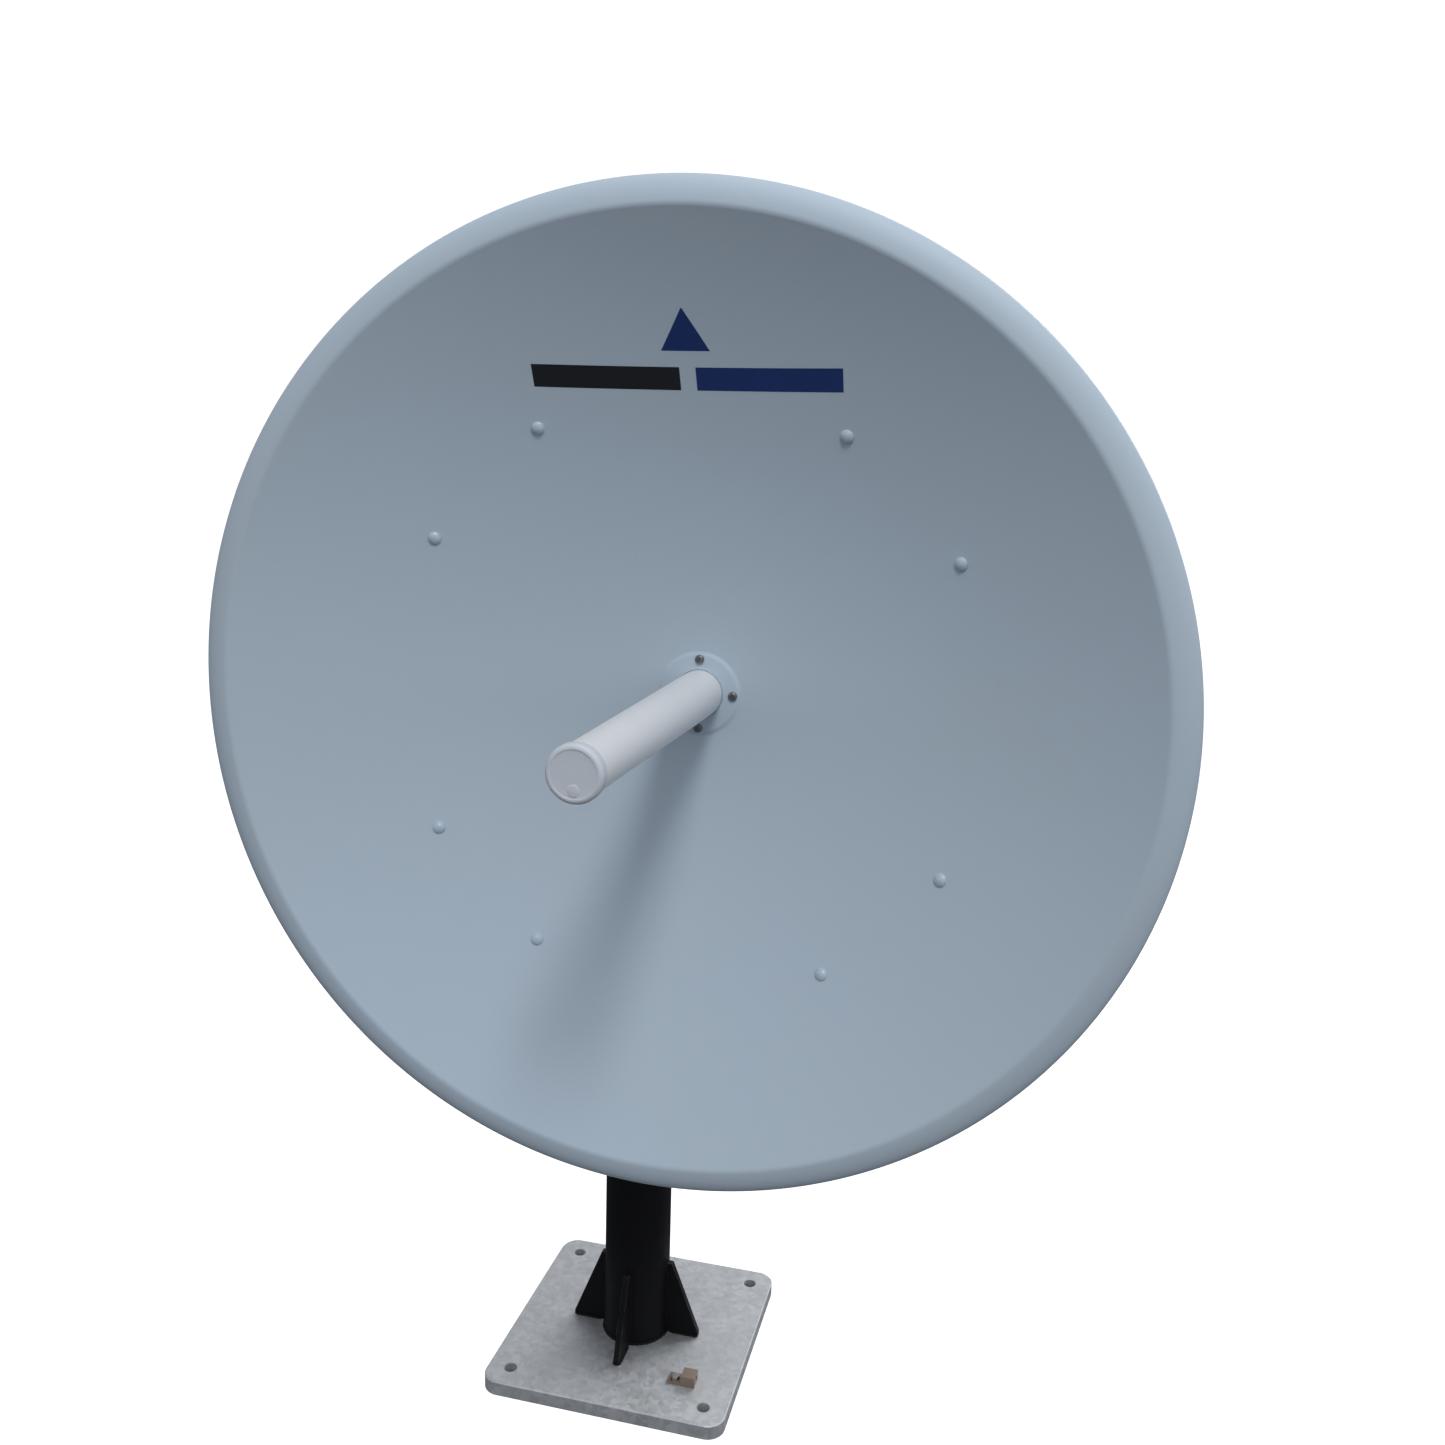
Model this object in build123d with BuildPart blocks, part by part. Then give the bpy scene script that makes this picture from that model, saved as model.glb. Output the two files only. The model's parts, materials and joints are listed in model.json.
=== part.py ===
from build123d import *

import math
import os

# Four-foot parabolic reflector antenna on a gusseted pipe mast, all lengths in millimetres.
# The origin is the centre of the base plate's underside, on the mast axis. +Z is up.
# The dish looks along -Y, and its axis lies to the +X side of the mast.

os.makedirs("parts", exist_ok=True)

# ---- driving dimensions -------------------------------------------------------------------

# reflector, a spun paraboloid with a rolled rim
rim_radius = 577.0
focal_length = 428.0
reflector_wall = 3.0
roll_width = 33.0
roll_depth = 13.0
skirt_depth = 28.0
dish_height = 1250.0
dish_offset = 178.0
vertex_standoff = 346.0

# back ring, with its fasteners through the reflector
bolt_circle_radius = 387.0
reflector_bolt_angles = (30, 60, 120, 150, 210, 240, 300, 330)
dome_head_radius = 8.0
dome_head_height = 5.0
spacer_radius = 14.0
spacer_thickness = 5.0
ring_wall = 4.0
ring_flange_width = 44.0
ring_rear = 15.0
feed_hole_room = 1.2

# frame rails and pivot ears
rail_section = 40.0
rail_wall = 3.0
rail_offset = 150.0
rail_overhang = 25.0
ear_wall = 6.0
ear_flange = 50.0
ear_margin = 25.0
ear_nose = 22.0

# saddle channel, which carries the elevation pivot
channel_width = 120.0
channel_wall = 6.0
channel_lip = 36.0
pivot_standoff = 200.0
pivot_drop = 140.0
pivot_gap = 2.0
bush_wall = 3.0
bush_flange = 2.0

# mast clamp jaws
jaw_height = 50.0
jaw_spacing = 300.0
jaw_wall = 15.0
jaw_split = 12.0
wing_thickness = 16.0
clamp_bolt_room = 17.35
clamp_bolt_margin = 15.0
jaw_screw_depth = 14.0
tapping_room = 1.0

# elevation adjuster
elevation_arm = 200.0
elevation_rod_room = 20.0
elevation_rod_length = 210.0
elevation_travel = 15.0
lug_wall = 8.0
lug_height = 60.0
lug_margin = 24.0
lug_bolt_inset = 19.0
lug_bolt_rise = 18.0
lug_setback = 2.0
eye_radius = 16.0
eye_cheek = 1.0
eye_gap = 0.5
shoulder_radius = 10.0
shoulder_step = 1.0
rod_bevel = 0.1

# azimuth collar and adjuster
collar_wall = 19.0
collar_height = 40.0
collar_split = 3.0
collar_ear_thickness = 13.5
thrust_ring_height = 11.7
thrust_ring_inset = 1.0
azimuth_rod_length = 110.0
azimuth_travel = 10.0
azimuth_lug_distance = 60.0
azimuth_lug_overhang = 25.0
azimuth_plate = 6.0
arm_plate_margin = 20.0
arm_plate_corner = 6.0
arm_screw_inset = 7.0
arm_screw_pitch = 12.0
arm_screw_depth = 12.0
azimuth_eye_radius = 14.0

# mast and base
mast_radius = 114.3 / 2
mast_wall = 6.0
mast_above_dish = 300.0
mast_cap_wall = 3.0
mast_cap_skirt = 30.0
base_width = 420.0
base_thickness = 25.0
base_corner = 30.0
base_bevel = 2.0
anchor_spacing = 340.0
anchor_hole = 11.0
gusset_height = 135.0
gusset_foot = 58.0
gusset_head = 8.0
gusset_wall = 10.0
ground_inset = 50.0
ground_size = 24.0
ground_tongue = 4.0
ground_block = 14.0
ground_bore = 4.5
ground_bore_height = 7.0

# feed
feed_radius = 31.5
feed_tip_radius = 28.5
feed_wall = 2.5
feed_length = 473.0
feed_straight = 20.0
cap_radius = 31.0
cap_thickness = 13.0
cap_bevel = 5.0
cap_wall = 5.0
cap_plug_depth = 9.0
waveguide_bore = 20.0
waveguide_wall = 2.0
waveguide_mouth = 20.0
waveguide_spacer_length = 12.0
support_plug = 40.0
splash_radius = 24.5
splash_gap = 8.0
splash_edge = 5.0
splash_cone = 8.0
hub_radius = 70.0
hub_flange = 8.0
neck_radius = 50.0
neck_length = 29.0
collar_plate_radius = 56.0
collar_plate_thickness = 4.0
collar_plate_bevel = 1.5
flange_screw_radius = 46.0
flange_screw_angles = range(0, 360, 90)
retainer_screw_angles = range(45, 360, 90)
retainer_screw_depth = 12.0
retainer_lip = 4.0
retainer_gap = 2.0
feed_flange_lip = 7.0
feed_flange_thickness = 6.0
seal_groove = 3.0
seal_place = 6.0
transition_radius = 34.0
transition_length = 62.0
transition_wall = 8.0

# feeder connector, under the transition
port_size = 26.0
port_boss = 3.0
port_shift = 5.0
port_root = 5.0
connector_flange = 3.0
connector_body = 6.0
connector_body_radius = 8.8
connector_thread_radius = 7.94
connector_thread_length = 11.0
connector_mouth_radius = 6.2
connector_mouth_depth = 9.0
dielectric_radius = 3.9
probe_radius = 1.5
screw_pitch = 18.3

# rating plate, left blank
plate_offset = 60.0
plate_wide = 90.0
plate_high = 28.0
plate_thickness = 1.0
plate_rivet_radius = 2.4

# fastener sizes, by thread diameter
reflector_thread = 8.0
rail_thread = 10.0
ear_thread = 12.0
pivot_thread = 16.0
clamp_thread = 12.0
elevation_thread = 16.0
azimuth_thread = 12.0
collar_thread = 10.0
jaw_screw_thread = 10.0
arm_screw_thread = 6.0
lug_thread = 8.0
flange_screw_thread = 6.0
retainer_screw_thread = 5.0
small_screw_thread = 3.0
pin_radius = 6.0

# clearances
clearance = 0.3
running_clearance = 0.05
thread_clearance = 0.05
seat_clearance = 0.1
hole_clearance = 0.5
clamp_clearance = 0.5
adjuster_clearance = 1.0
lay_gap = 0.01

# ---- derived places -----------------------------------------------------------------------

curvature = 1 / (4 * focal_length)
depth = curvature * rim_radius**2
vertex = Vector(dish_offset, -vertex_standoff, dish_height)
dish_axis = Axis(vertex, (0, 1, 0))
# In this plane local x is the distance from the dish axis and local y runs towards the back.
radial_plane = Plane(origin=vertex, x_dir=(1, 0, 0), z_dir=(0, 0, 1))

rail_front = ring_rear - vertex_standoff
rail_rear = rail_front + rail_section
ear_inner = channel_width / 2 + pivot_gap
ear_outer = ear_inner + ear_wall
ear_height = 2 * (rail_offset + ear_margin)
elevation_rod_offset = ear_outer + elevation_rod_room
lug_outer = elevation_rod_offset + lug_margin
pivot_y = -pivot_standoff
pivot_z = dish_height - pivot_drop
rod_z = pivot_z + elevation_arm
jaw_bore = mast_radius + clamp_clearance
jaw_face = -(jaw_bore + jaw_wall)
clamp_bolt_offset = jaw_bore + jaw_wall + clamp_bolt_room
jaw_reach = clamp_bolt_offset + clamp_bolt_margin
web_face = jaw_face - channel_wall
channel_height = jaw_spacing + jaw_height
channel_bottom = dish_height - channel_height / 2
lower_jaw_bottom = dish_height - jaw_spacing / 2 - jaw_height / 2
lug_rear = web_face - lug_setback
lug_front = lug_rear - lug_wall
collar_top = lower_jaw_bottom - thrust_ring_height - clearance
collar_middle = collar_top - collar_height / 2
collar_outer = jaw_bore + collar_wall
azimuth_plate_bottom = lower_jaw_bottom - azimuth_plate
azimuth_arm = jaw_reach + arm_plate_margin
mast_top = dish_height + mast_above_dish
eye_width = elevation_thread + 2 * eye_cheek
azimuth_eye_width = azimuth_thread + 2 * eye_cheek

LOW = (Align.CENTER, Align.CENTER, Align.MIN)
HIGH = (Align.CENTER, Align.CENTER, Align.MAX)


# ---- shared shapes ------------------------------------------------------------------------


def write_piece(builder, label):
    """Name a finished piece and write its STEP file."""
    builder.part.label = label
    export_step(builder.part, f"parts/{label}.step")


def parabola(start, end, shift):
    """The dish curve from one radius to another, moved back along the axis by shift."""
    Bezier(
        (start, shift - curvature * start**2),
        ((start + end) / 2, shift - curvature * start * end),
        (end, shift - curvature * end**2),
    )


def hexagon_flats(thread):
    """Distance across the flats of a bolt head or nut."""
    return 1.6 * thread


def head_height(thread):
    """Height of a hexagon bolt head."""
    return 0.65 * thread


def nut_height(thread):
    """Height of a hexagon nut."""
    return 0.85 * thread


def washer_height(thread):
    """Thickness of a plain washer."""
    return 0.2 * thread


def hex_bolt(thread, length):
    """A bolt with its head below the local XY plane and its shank standing on it."""
    with BuildPart() as bolt:
        with BuildSketch():
            RegularPolygon(hexagon_flats(thread) / 2, 6, major_radius=False)
        extrude(amount=-head_height(thread))
        chamfer(bolt.faces().sort_by(Axis.Z)[0].edges(), 0.06 * thread)
        Cylinder(thread / 2, length, align=LOW)
    return bolt.part


def hex_nut(thread, gap=thread_clearance):
    """A nut standing on the local XY plane."""
    with BuildPart() as nut:
        with BuildSketch():
            RegularPolygon(hexagon_flats(thread) / 2, 6, major_radius=False)
            Circle(thread / 2 + gap, mode=Mode.SUBTRACT)
        extrude(amount=nut_height(thread))
    return nut.part


def washer(thread, gap=thread_clearance):
    """A plain washer on the local XY plane, a hair clear of what it lies between."""
    with BuildPart() as ring:
        with BuildSketch(Plane.XY.offset(lay_gap)):
            Circle(thread)
            Circle(thread / 2 + gap, mode=Mode.SUBTRACT)
        extrude(amount=washer_height(thread) - 2 * lay_gap)
    return ring.part


def pan_screw(thread, length):
    """A round-headed screw with a cross slot, its head below the local XY plane."""
    with BuildPart() as screw:
        Cylinder(thread, 0.7 * thread, align=HIGH)
        fillet(screw.faces().sort_by(Axis.Z)[0].edges(), 0.4 * thread)
        with Locations((0, 0, -0.7 * thread)):
            Box(thread, 0.2 * thread, 0.3 * thread, align=LOW, mode=Mode.SUBTRACT)
            Box(0.2 * thread, thread, 0.3 * thread, align=LOW, mode=Mode.SUBTRACT)
        Cylinder(thread / 2, length, align=LOW)
    return screw.part


def along(point, direction, x_dir=(0, 0, 1)):
    """A plane at a point whose normal is the fastener's direction."""
    return Plane(origin=point, x_dir=x_dir, z_dir=direction)


def seat_plane(angle, height):
    """A plane parallel to the dish surface at the bolt circle, height behind its front face."""
    slope = math.atan(2 * curvature * bolt_circle_radius)
    turn = math.radians(angle)
    outward = Vector(math.sin(turn), 0, math.cos(turn))
    normal = outward * math.sin(slope) + Vector(0, math.cos(slope), 0)
    seat = vertex + outward * bolt_circle_radius - Vector(0, curvature * bolt_circle_radius**2, 0)
    return Plane(origin=seat + normal * height, x_dir=(math.cos(turn), 0, -math.sin(turn)), z_dir=normal)


def seat_planes(height):
    """The seat planes of all the reflector bolts."""
    return [seat_plane(angle, height) for angle in reflector_bolt_angles]


def rear_planes(radius, angles, behind):
    """Planes that face the back, behind the vertex plane, at a radius and at angles from the top."""
    turns = [math.radians(angle) for angle in angles]
    return [
        along(vertex + Vector(radius * math.sin(turn), behind, radius * math.cos(turn)), (0, 1, 0))
        for turn in turns
    ]


# ---- reflector ----------------------------------------------------------------------------

rim_edge = rim_radius + roll_width
with BuildPart() as reflector:
    with BuildSketch(radial_plane):
        with BuildLine():
            parabola(0, rim_radius, 0)
            EllipticalCenterArc(
                (rim_radius, roll_depth - depth), roll_width, roll_depth, -90, arc_size=90
            )
            Polyline(
                (rim_edge, roll_depth - depth),
                (rim_edge, skirt_depth - depth),
                (rim_edge - reflector_wall, skirt_depth - depth),
                (rim_edge - reflector_wall, roll_depth - depth),
            )
            EllipticalCenterArc(
                (rim_radius, roll_depth - depth),
                roll_width - reflector_wall,
                roll_depth - reflector_wall,
                0,
                arc_size=-90,
            )
            parabola(rim_radius, 0, reflector_wall)
            Line((0, reflector_wall), (0, 0))
        make_face()
    revolve(axis=dish_axis)
    feed_hole = feed_radius + clearance + feed_hole_room
    with Locations(along(vertex + Vector(0, reflector_wall, 0), (0, 1, 0))):
        Hole(feed_hole, depth=2 * reflector_wall)
    with Locations(*seat_planes(2 * reflector_wall)):
        Hole(reflector_thread / 2 + hole_clearance, depth=4 * reflector_wall)
    with Locations(*rear_planes(flange_screw_radius, flange_screw_angles, 2 * reflector_wall)):
        Hole(flange_screw_thread / 2 + hole_clearance, depth=4 * reflector_wall)
write_piece(reflector, "reflector")

# ---- back ring and the fasteners that hold the reflector to it ----------------------------

slope = math.atan(2 * curvature * bolt_circle_radius)
wall_height = reflector_wall * math.cos(slope) + seat_clearance
spacer_sag = 2 * seat_clearance
# The flange is a cone, so it stands off each flat spacer by the cone's sag across it.
cone_sag = spacer_radius**2 * math.sin(slope) / (2 * bolt_circle_radius)
flange_height = wall_height + spacer_sag + spacer_thickness + cone_sag + seat_clearance / 2
flange_middle = (
    bolt_circle_radius + (flange_height + ring_wall / 2) * math.sin(slope),
    (flange_height + ring_wall / 2) * math.cos(slope) - curvature * bolt_circle_radius**2,
)
bend = (
    flange_middle[0] - ring_flange_width / 2 * math.cos(slope),
    flange_middle[1] + ring_flange_width / 2 * math.sin(slope),
)
rear_middle = ring_rear - ring_wall / 2
ring_rear_radius = bend[0] + ring_flange_width / 2
rail_bolt_reach = math.sqrt(ring_rear_radius**2 - rail_offset**2)
rail_bolt_places = [
    (dish_offset + side * rail_bolt_reach, dish_height + level * rail_offset)
    for side in (-1, 1)
    for level in (-1, 1)
]

with BuildPart() as back_ring:
    with BuildSketch(radial_plane):
        with Locations(flange_middle):
            Rectangle(ring_flange_width, ring_wall, rotation=-math.degrees(slope))
        with Locations((bend[0], (bend[1] + rear_middle) / 2)):
            Rectangle(ring_wall, rear_middle - bend[1])
        with Locations((ring_rear_radius, rear_middle)):
            Rectangle(ring_flange_width, ring_wall)
        with Locations(bend, (bend[0], rear_middle)):
            Circle(ring_wall / 2)
    revolve(axis=dish_axis)
    with Locations(*seat_planes(flange_height + 2 * ring_wall)):
        Hole(reflector_thread / 2 + hole_clearance, depth=3 * ring_wall)
    with Locations(*[along((x, rail_front, z), (0, 1, 0)) for x, z in rail_bolt_places]):
        Hole(rail_thread / 2 + hole_clearance, depth=2 * ring_wall)
write_piece(back_ring, "back_ring")

flange_back = flange_height + ring_wall + seat_clearance
dome_radius = (dome_head_radius**2 + dome_head_height**2) / (2 * dome_head_height)
with BuildPart() as dome_bolt:
    with Locations((0, 0, dome_radius - dome_head_height)):
        Sphere(dome_radius)
    split(bisect_by=Plane.XY, keep=Keep.BOTTOM)
    Cylinder(reflector_thread / 2, flange_back + 2 * reflector_thread, align=LOW)

with BuildPart() as reflector_bolts:
    with Locations(*seat_planes(-seat_clearance)):
        add(dome_bolt.part)
write_piece(reflector_bolts, "reflector_bolts")

with BuildPart() as spacer:
    Cylinder(spacer_radius, spacer_thickness, align=LOW)
    Cylinder(
        reflector_thread / 2 + hole_clearance, spacer_thickness, align=LOW, mode=Mode.SUBTRACT
    )

with BuildPart() as reflector_spacers:
    with Locations(*seat_planes(wall_height + spacer_sag)):
        add(spacer.part)
write_piece(reflector_spacers, "reflector_spacers")

with BuildPart() as reflector_nuts:
    with Locations(*seat_planes(flange_back)):
        add(washer(reflector_thread))
    with Locations(*seat_planes(flange_back + washer_height(reflector_thread))):
        add(hex_nut(reflector_thread))
write_piece(reflector_nuts, "reflector_nuts")

# ---- frame rails --------------------------------------------------------------------------

ear_bolt_x = (ear_outer + ear_inner + ear_flange) / 2
rail_length = 2 * (rail_bolt_reach + rail_overhang)


def build_rail(level, label):
    """A square tube across the back of the ring, level above or below the dish axis."""
    height = dish_height + level * rail_offset
    with BuildPart() as rail:
        with Locations((dish_offset, (rail_front + rail_rear) / 2, height)):
            Box(rail_length, rail_section, rail_section)
            fillet(rail.edges().filter_by(Axis.X), rail_wall)
            inner = rail_section - 2 * rail_wall
            Box(rail_length, inner, inner, mode=Mode.SUBTRACT)
        with Locations(
            *[along((x, rail_rear, z), (0, 1, 0)) for x, z in rail_bolt_places if z == height]
        ):
            Hole(rail_thread / 2 + hole_clearance, depth=rail_section)
        with Locations(*[along((x, rail_rear, height), (0, 1, 0)) for x in (-ear_bolt_x, ear_bolt_x)]):
            Hole(ear_thread / 2 + hole_clearance, depth=rail_section)
    write_piece(rail, label)


build_rail(1, "frame_rail_top")
build_rail(-1, "frame_rail_bottom")

with BuildPart() as rail_plug:
    plug = rail_section - 2 * rail_wall - 2 * clearance
    Box(rail_section, rail_section, rail_wall, align=LOW)
    Box(plug, plug, 4 * rail_wall, align=HIGH)

with BuildPart() as rail_end_plugs:
    for side in (-1, 1):
        for level in (-1, 1):
            place = (
                dish_offset + side * rail_length / 2,
                (rail_front + rail_rear) / 2,
                dish_height + level * rail_offset,
            )
            with Locations(along(place, (side, 0, 0))):
                add(rail_plug.part)
write_piece(rail_end_plugs, "rail_end_plugs")

with BuildPart() as rail_bolts:
    with Locations(*[along((x, rail_front - ring_wall, z), (0, 1, 0)) for x, z in rail_bolt_places]):
        add(hex_bolt(rail_thread, ring_wall + rail_section + 2 * rail_thread))
write_piece(rail_bolts, "rail_bolts")

with BuildPart() as rail_nuts:
    with Locations(*[along((x, rail_rear, z), (0, 1, 0)) for x, z in rail_bolt_places]):
        add(washer(rail_thread))
    nut_seat = rail_rear + washer_height(rail_thread)
    with Locations(*[along((x, nut_seat, z), (0, 1, 0)) for x, z in rail_bolt_places]):
        add(hex_nut(rail_thread))
write_piece(rail_nuts, "rail_nuts")

# ---- pivot ears, which swing about the elevation bolt -------------------------------------

ear_plane = Plane(origin=(ear_inner, 0, 0), x_dir=(0, 1, 0), z_dir=(1, 0, 0))
nose = pivot_y + ear_nose
waist = (rail_rear + pivot_y) / 2
ear_low = dish_height - ear_height / 2
ear_high = dish_height + ear_height / 2
half_nose = 0.7 * ear_nose
with BuildPart() as pivot_ear_right:
    with BuildSketch(ear_plane):
        with BuildLine():
            Polyline(
                (rail_rear, ear_low),
                (waist, ear_low),
                (nose, pivot_z - half_nose),
                (nose, pivot_z + half_nose),
                (waist, pivot_z + 2 * ear_nose),
                (waist, rod_z - 2 * ear_nose),
                (nose, rod_z - half_nose),
                (nose, rod_z + half_nose),
                (waist, rod_z + 2 * ear_nose),
                (rail_rear + ear_nose, ear_high),
                (rail_rear, ear_high),
                close=True,
            )
        make_face()
    extrude(amount=ear_wall)
    with Locations((ear_inner, rail_rear, dish_height)):
        Box(ear_flange, ear_wall, ear_height, align=(Align.MIN, Align.MIN, Align.CENTER))
    fillet(pivot_ear_right.edges().filter_by(Axis.X).group_by(Axis.Y)[-1], 0.4 * ear_nose)
    bush_outer = pivot_thread / 2 + running_clearance + bush_wall
    with Locations(along((ear_outer, pivot_y, pivot_z), (1, 0, 0))):
        Hole(bush_outer, depth=ear_wall)
    with Locations(along((ear_outer, pivot_y, rod_z), (1, 0, 0))):
        Hole(pin_radius, depth=ear_wall)
    with Locations(
        *[
            along((ear_bolt_x, rail_rear + ear_wall, dish_height + level * rail_offset), (0, 1, 0))
            for level in (-1, 1)
        ]
    ):
        Hole(ear_thread / 2 + hole_clearance, depth=ear_wall)
write_piece(pivot_ear_right, "pivot_ear_right")

with BuildPart() as pivot_ear_left:
    mirror(pivot_ear_right.part, about=Plane.YZ)
write_piece(pivot_ear_left, "pivot_ear_left")

ear_bolt_places = [
    (side * ear_bolt_x, dish_height + level * rail_offset) for side in (-1, 1) for level in (-1, 1)
]
with BuildPart() as ear_bolts:
    with Locations(*[along((x, rail_front, z), (0, 1, 0)) for x, z in ear_bolt_places]):
        add(hex_bolt(ear_thread, rail_section + ear_wall + 1.5 * ear_thread))
write_piece(ear_bolts, "ear_bolts")

with BuildPart() as ear_nuts:
    ear_seat = rail_rear + ear_wall
    with Locations(*[along((x, ear_seat, z), (0, 1, 0)) for x, z in ear_bolt_places]):
        add(washer(ear_thread))
    nut_seat = ear_seat + washer_height(ear_thread)
    with Locations(*[along((x, nut_seat, z), (0, 1, 0)) for x, z in ear_bolt_places]):
        add(hex_nut(ear_thread))
write_piece(ear_nuts, "ear_nuts")

with BuildPart() as bush:
    Cylinder(bush_outer, ear_wall, align=HIGH)
    Cylinder(bush_outer + bush_wall, bush_flange, align=LOW)
    Cylinder(pivot_thread / 2 + running_clearance, 3 * ear_wall, mode=Mode.SUBTRACT)

with BuildPart() as pivot_bushes:
    with Locations(*[along((side * ear_outer, pivot_y, pivot_z), (side, 0, 0)) for side in (-1, 1)]):
        add(bush.part)
write_piece(pivot_bushes, "pivot_bushes")

# ---- saddle: channel, jaws and clamp ------------------------------------------------------

channel_top = channel_bottom + channel_height
lug_bolt_places = [(web_face - lug_bolt_inset, rod_z + level * lug_bolt_rise) for level in (-1, 1)]
flange_end = pivot_y - ear_nose
lip = web_face - channel_lip
with BuildPart() as saddle_channel:
    with Locations((0, jaw_face, channel_bottom)):
        Box(channel_width, channel_wall, channel_height, align=(Align.CENTER, Align.MAX, Align.MIN))
    for side in (-1, 1):
        face = side * channel_width / 2
        with BuildSketch(Plane(origin=(face, 0, 0), x_dir=(0, 1, 0), z_dir=(1, 0, 0))):
            with BuildLine():
                Polyline(
                    (jaw_face, channel_bottom),
                    (flange_end + half_nose, channel_bottom),
                    (flange_end, pivot_z - half_nose),
                    (flange_end, pivot_z + half_nose),
                    (lip, pivot_z + 4 * ear_nose),
                    (lip, channel_top),
                    (jaw_face, channel_top),
                    close=True,
                )
            make_face()
        extrude(amount=-side * channel_wall)
    with Locations(along((channel_width / 2, pivot_y, pivot_z), (1, 0, 0))):
        Hole(pivot_thread / 2 + thread_clearance, depth=channel_width)
    with Locations(*[along((channel_width / 2, y, z), (1, 0, 0)) for y, z in lug_bolt_places]):
        Hole(lug_thread / 2 + hole_clearance, depth=channel_wall)
    jaw_screw_places = [
        (side * channel_width / 5, dish_height + level * jaw_spacing / 2)
        for side in (-1, 1)
        for level in (-1, 1)
    ]
    with Locations(*[along((x, web_face, z), (0, -1, 0)) for x, z in jaw_screw_places]):
        Hole(jaw_screw_thread / 2 + hole_clearance, depth=channel_wall)
write_piece(saddle_channel, "saddle_channel")

half_jaw_face = channel_width / 2 - 2 * channel_wall
wing_root = jaw_bore + jaw_wall
with BuildPart() as jaw:
    with BuildSketch():
        with BuildLine():
            Polyline(
                (-jaw_reach, -jaw_split),
                (-jaw_reach, -jaw_split - wing_thickness),
                (-wing_root, -jaw_split - wing_thickness),
                (-half_jaw_face, jaw_face),
                (half_jaw_face, jaw_face),
                (wing_root, -jaw_split - wing_thickness),
                (jaw_reach, -jaw_split - wing_thickness),
                (jaw_reach, -jaw_split),
                close=True,
            )
        make_face()
        Circle(jaw_bore, mode=Mode.SUBTRACT)
    extrude(amount=jaw_height / 2, both=True)
    with Locations(
        *[along((side * clamp_bolt_offset, -jaw_split, 0), (0, 1, 0)) for side in (-1, 1)]
    ):
        Hole(clamp_thread / 2 + hole_clearance, depth=wing_thickness)

jaw_levels = [dish_height + level * jaw_spacing / 2 for level in (-1, 1)]
arm_screw_places = [
    (arm_screw_inset + place * arm_screw_pitch - jaw_reach, -jaw_split - wing_thickness / 2)
    for place in (0, 1)
]
with BuildPart() as front_jaws:
    with Locations(*[(0, 0, height) for height in jaw_levels]):
        add(jaw.part)
    with Locations(*[along((x, jaw_face, z), (0, -1, 0)) for x, z in jaw_screw_places]):
        Hole(jaw_screw_thread / 2 + thread_clearance, depth=jaw_screw_depth + tapping_room)
    with Locations(
        *[along((x, y, lower_jaw_bottom), (0, 0, -1), (1, 0, 0)) for x, y in arm_screw_places]
    ):
        Hole(arm_screw_thread / 2 + thread_clearance, depth=arm_screw_depth + tapping_room)
write_piece(front_jaws, "front_jaws")

with BuildPart() as rear_jaws:
    with Locations(*[(0, 0, height) for height in jaw_levels]):
        add(mirror(jaw.part, about=Plane.XZ, mode=Mode.PRIVATE))
write_piece(rear_jaws, "rear_jaws")

with BuildPart() as jaw_screws:
    head_seat = web_face - washer_height(jaw_screw_thread)
    screw_length = washer_height(jaw_screw_thread) + channel_wall + jaw_screw_depth
    with Locations(*[along((x, head_seat, z), (0, 1, 0)) for x, z in jaw_screw_places]):
        add(hex_bolt(jaw_screw_thread, screw_length))
        add(washer(jaw_screw_thread))
write_piece(jaw_screws, "jaw_screws")

wing_face = jaw_split + wing_thickness
stud_places = [(side * clamp_bolt_offset, height) for side in (-1, 1) for height in jaw_levels]
stud_length = 2 * (wing_face + 2.2 * clamp_thread)
with BuildPart() as clamp_studs:
    with Locations(*[along((x, 0, z), (0, 1, 0)) for x, z in stud_places]):
        Cylinder(clamp_thread / 2, stud_length)
write_piece(clamp_studs, "clamp_studs")

with BuildPart() as clamp_nuts:
    for side in (-1, 1):
        with Locations(*[along((x, side * wing_face, z), (0, side, 0)) for x, z in stud_places]):
            add(washer(clamp_thread))
        nut_seat = side * (wing_face + washer_height(clamp_thread))
        with Locations(*[along((x, nut_seat, z), (0, side, 0)) for x, z in stud_places]):
            add(hex_nut(clamp_thread))
write_piece(clamp_nuts, "clamp_nuts")

# ---- elevation pivot ----------------------------------------------------------------------

pivot_seat = ear_outer + bush_flange + clearance
pivot_washer_seat = pivot_seat + washer_height(pivot_thread)
with BuildPart() as elevation_pivot_bolt:
    with Locations(along((pivot_washer_seat, pivot_y, pivot_z), (-1, 0, 0))):
        add(hex_bolt(pivot_thread, 2 * pivot_washer_seat + 1.5 * pivot_thread))
    with Locations(along((-pivot_washer_seat, pivot_y, pivot_z), (-1, 0, 0))):
        add(hex_nut(pivot_thread))
write_piece(elevation_pivot_bolt, "elevation_pivot_bolt")

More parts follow.
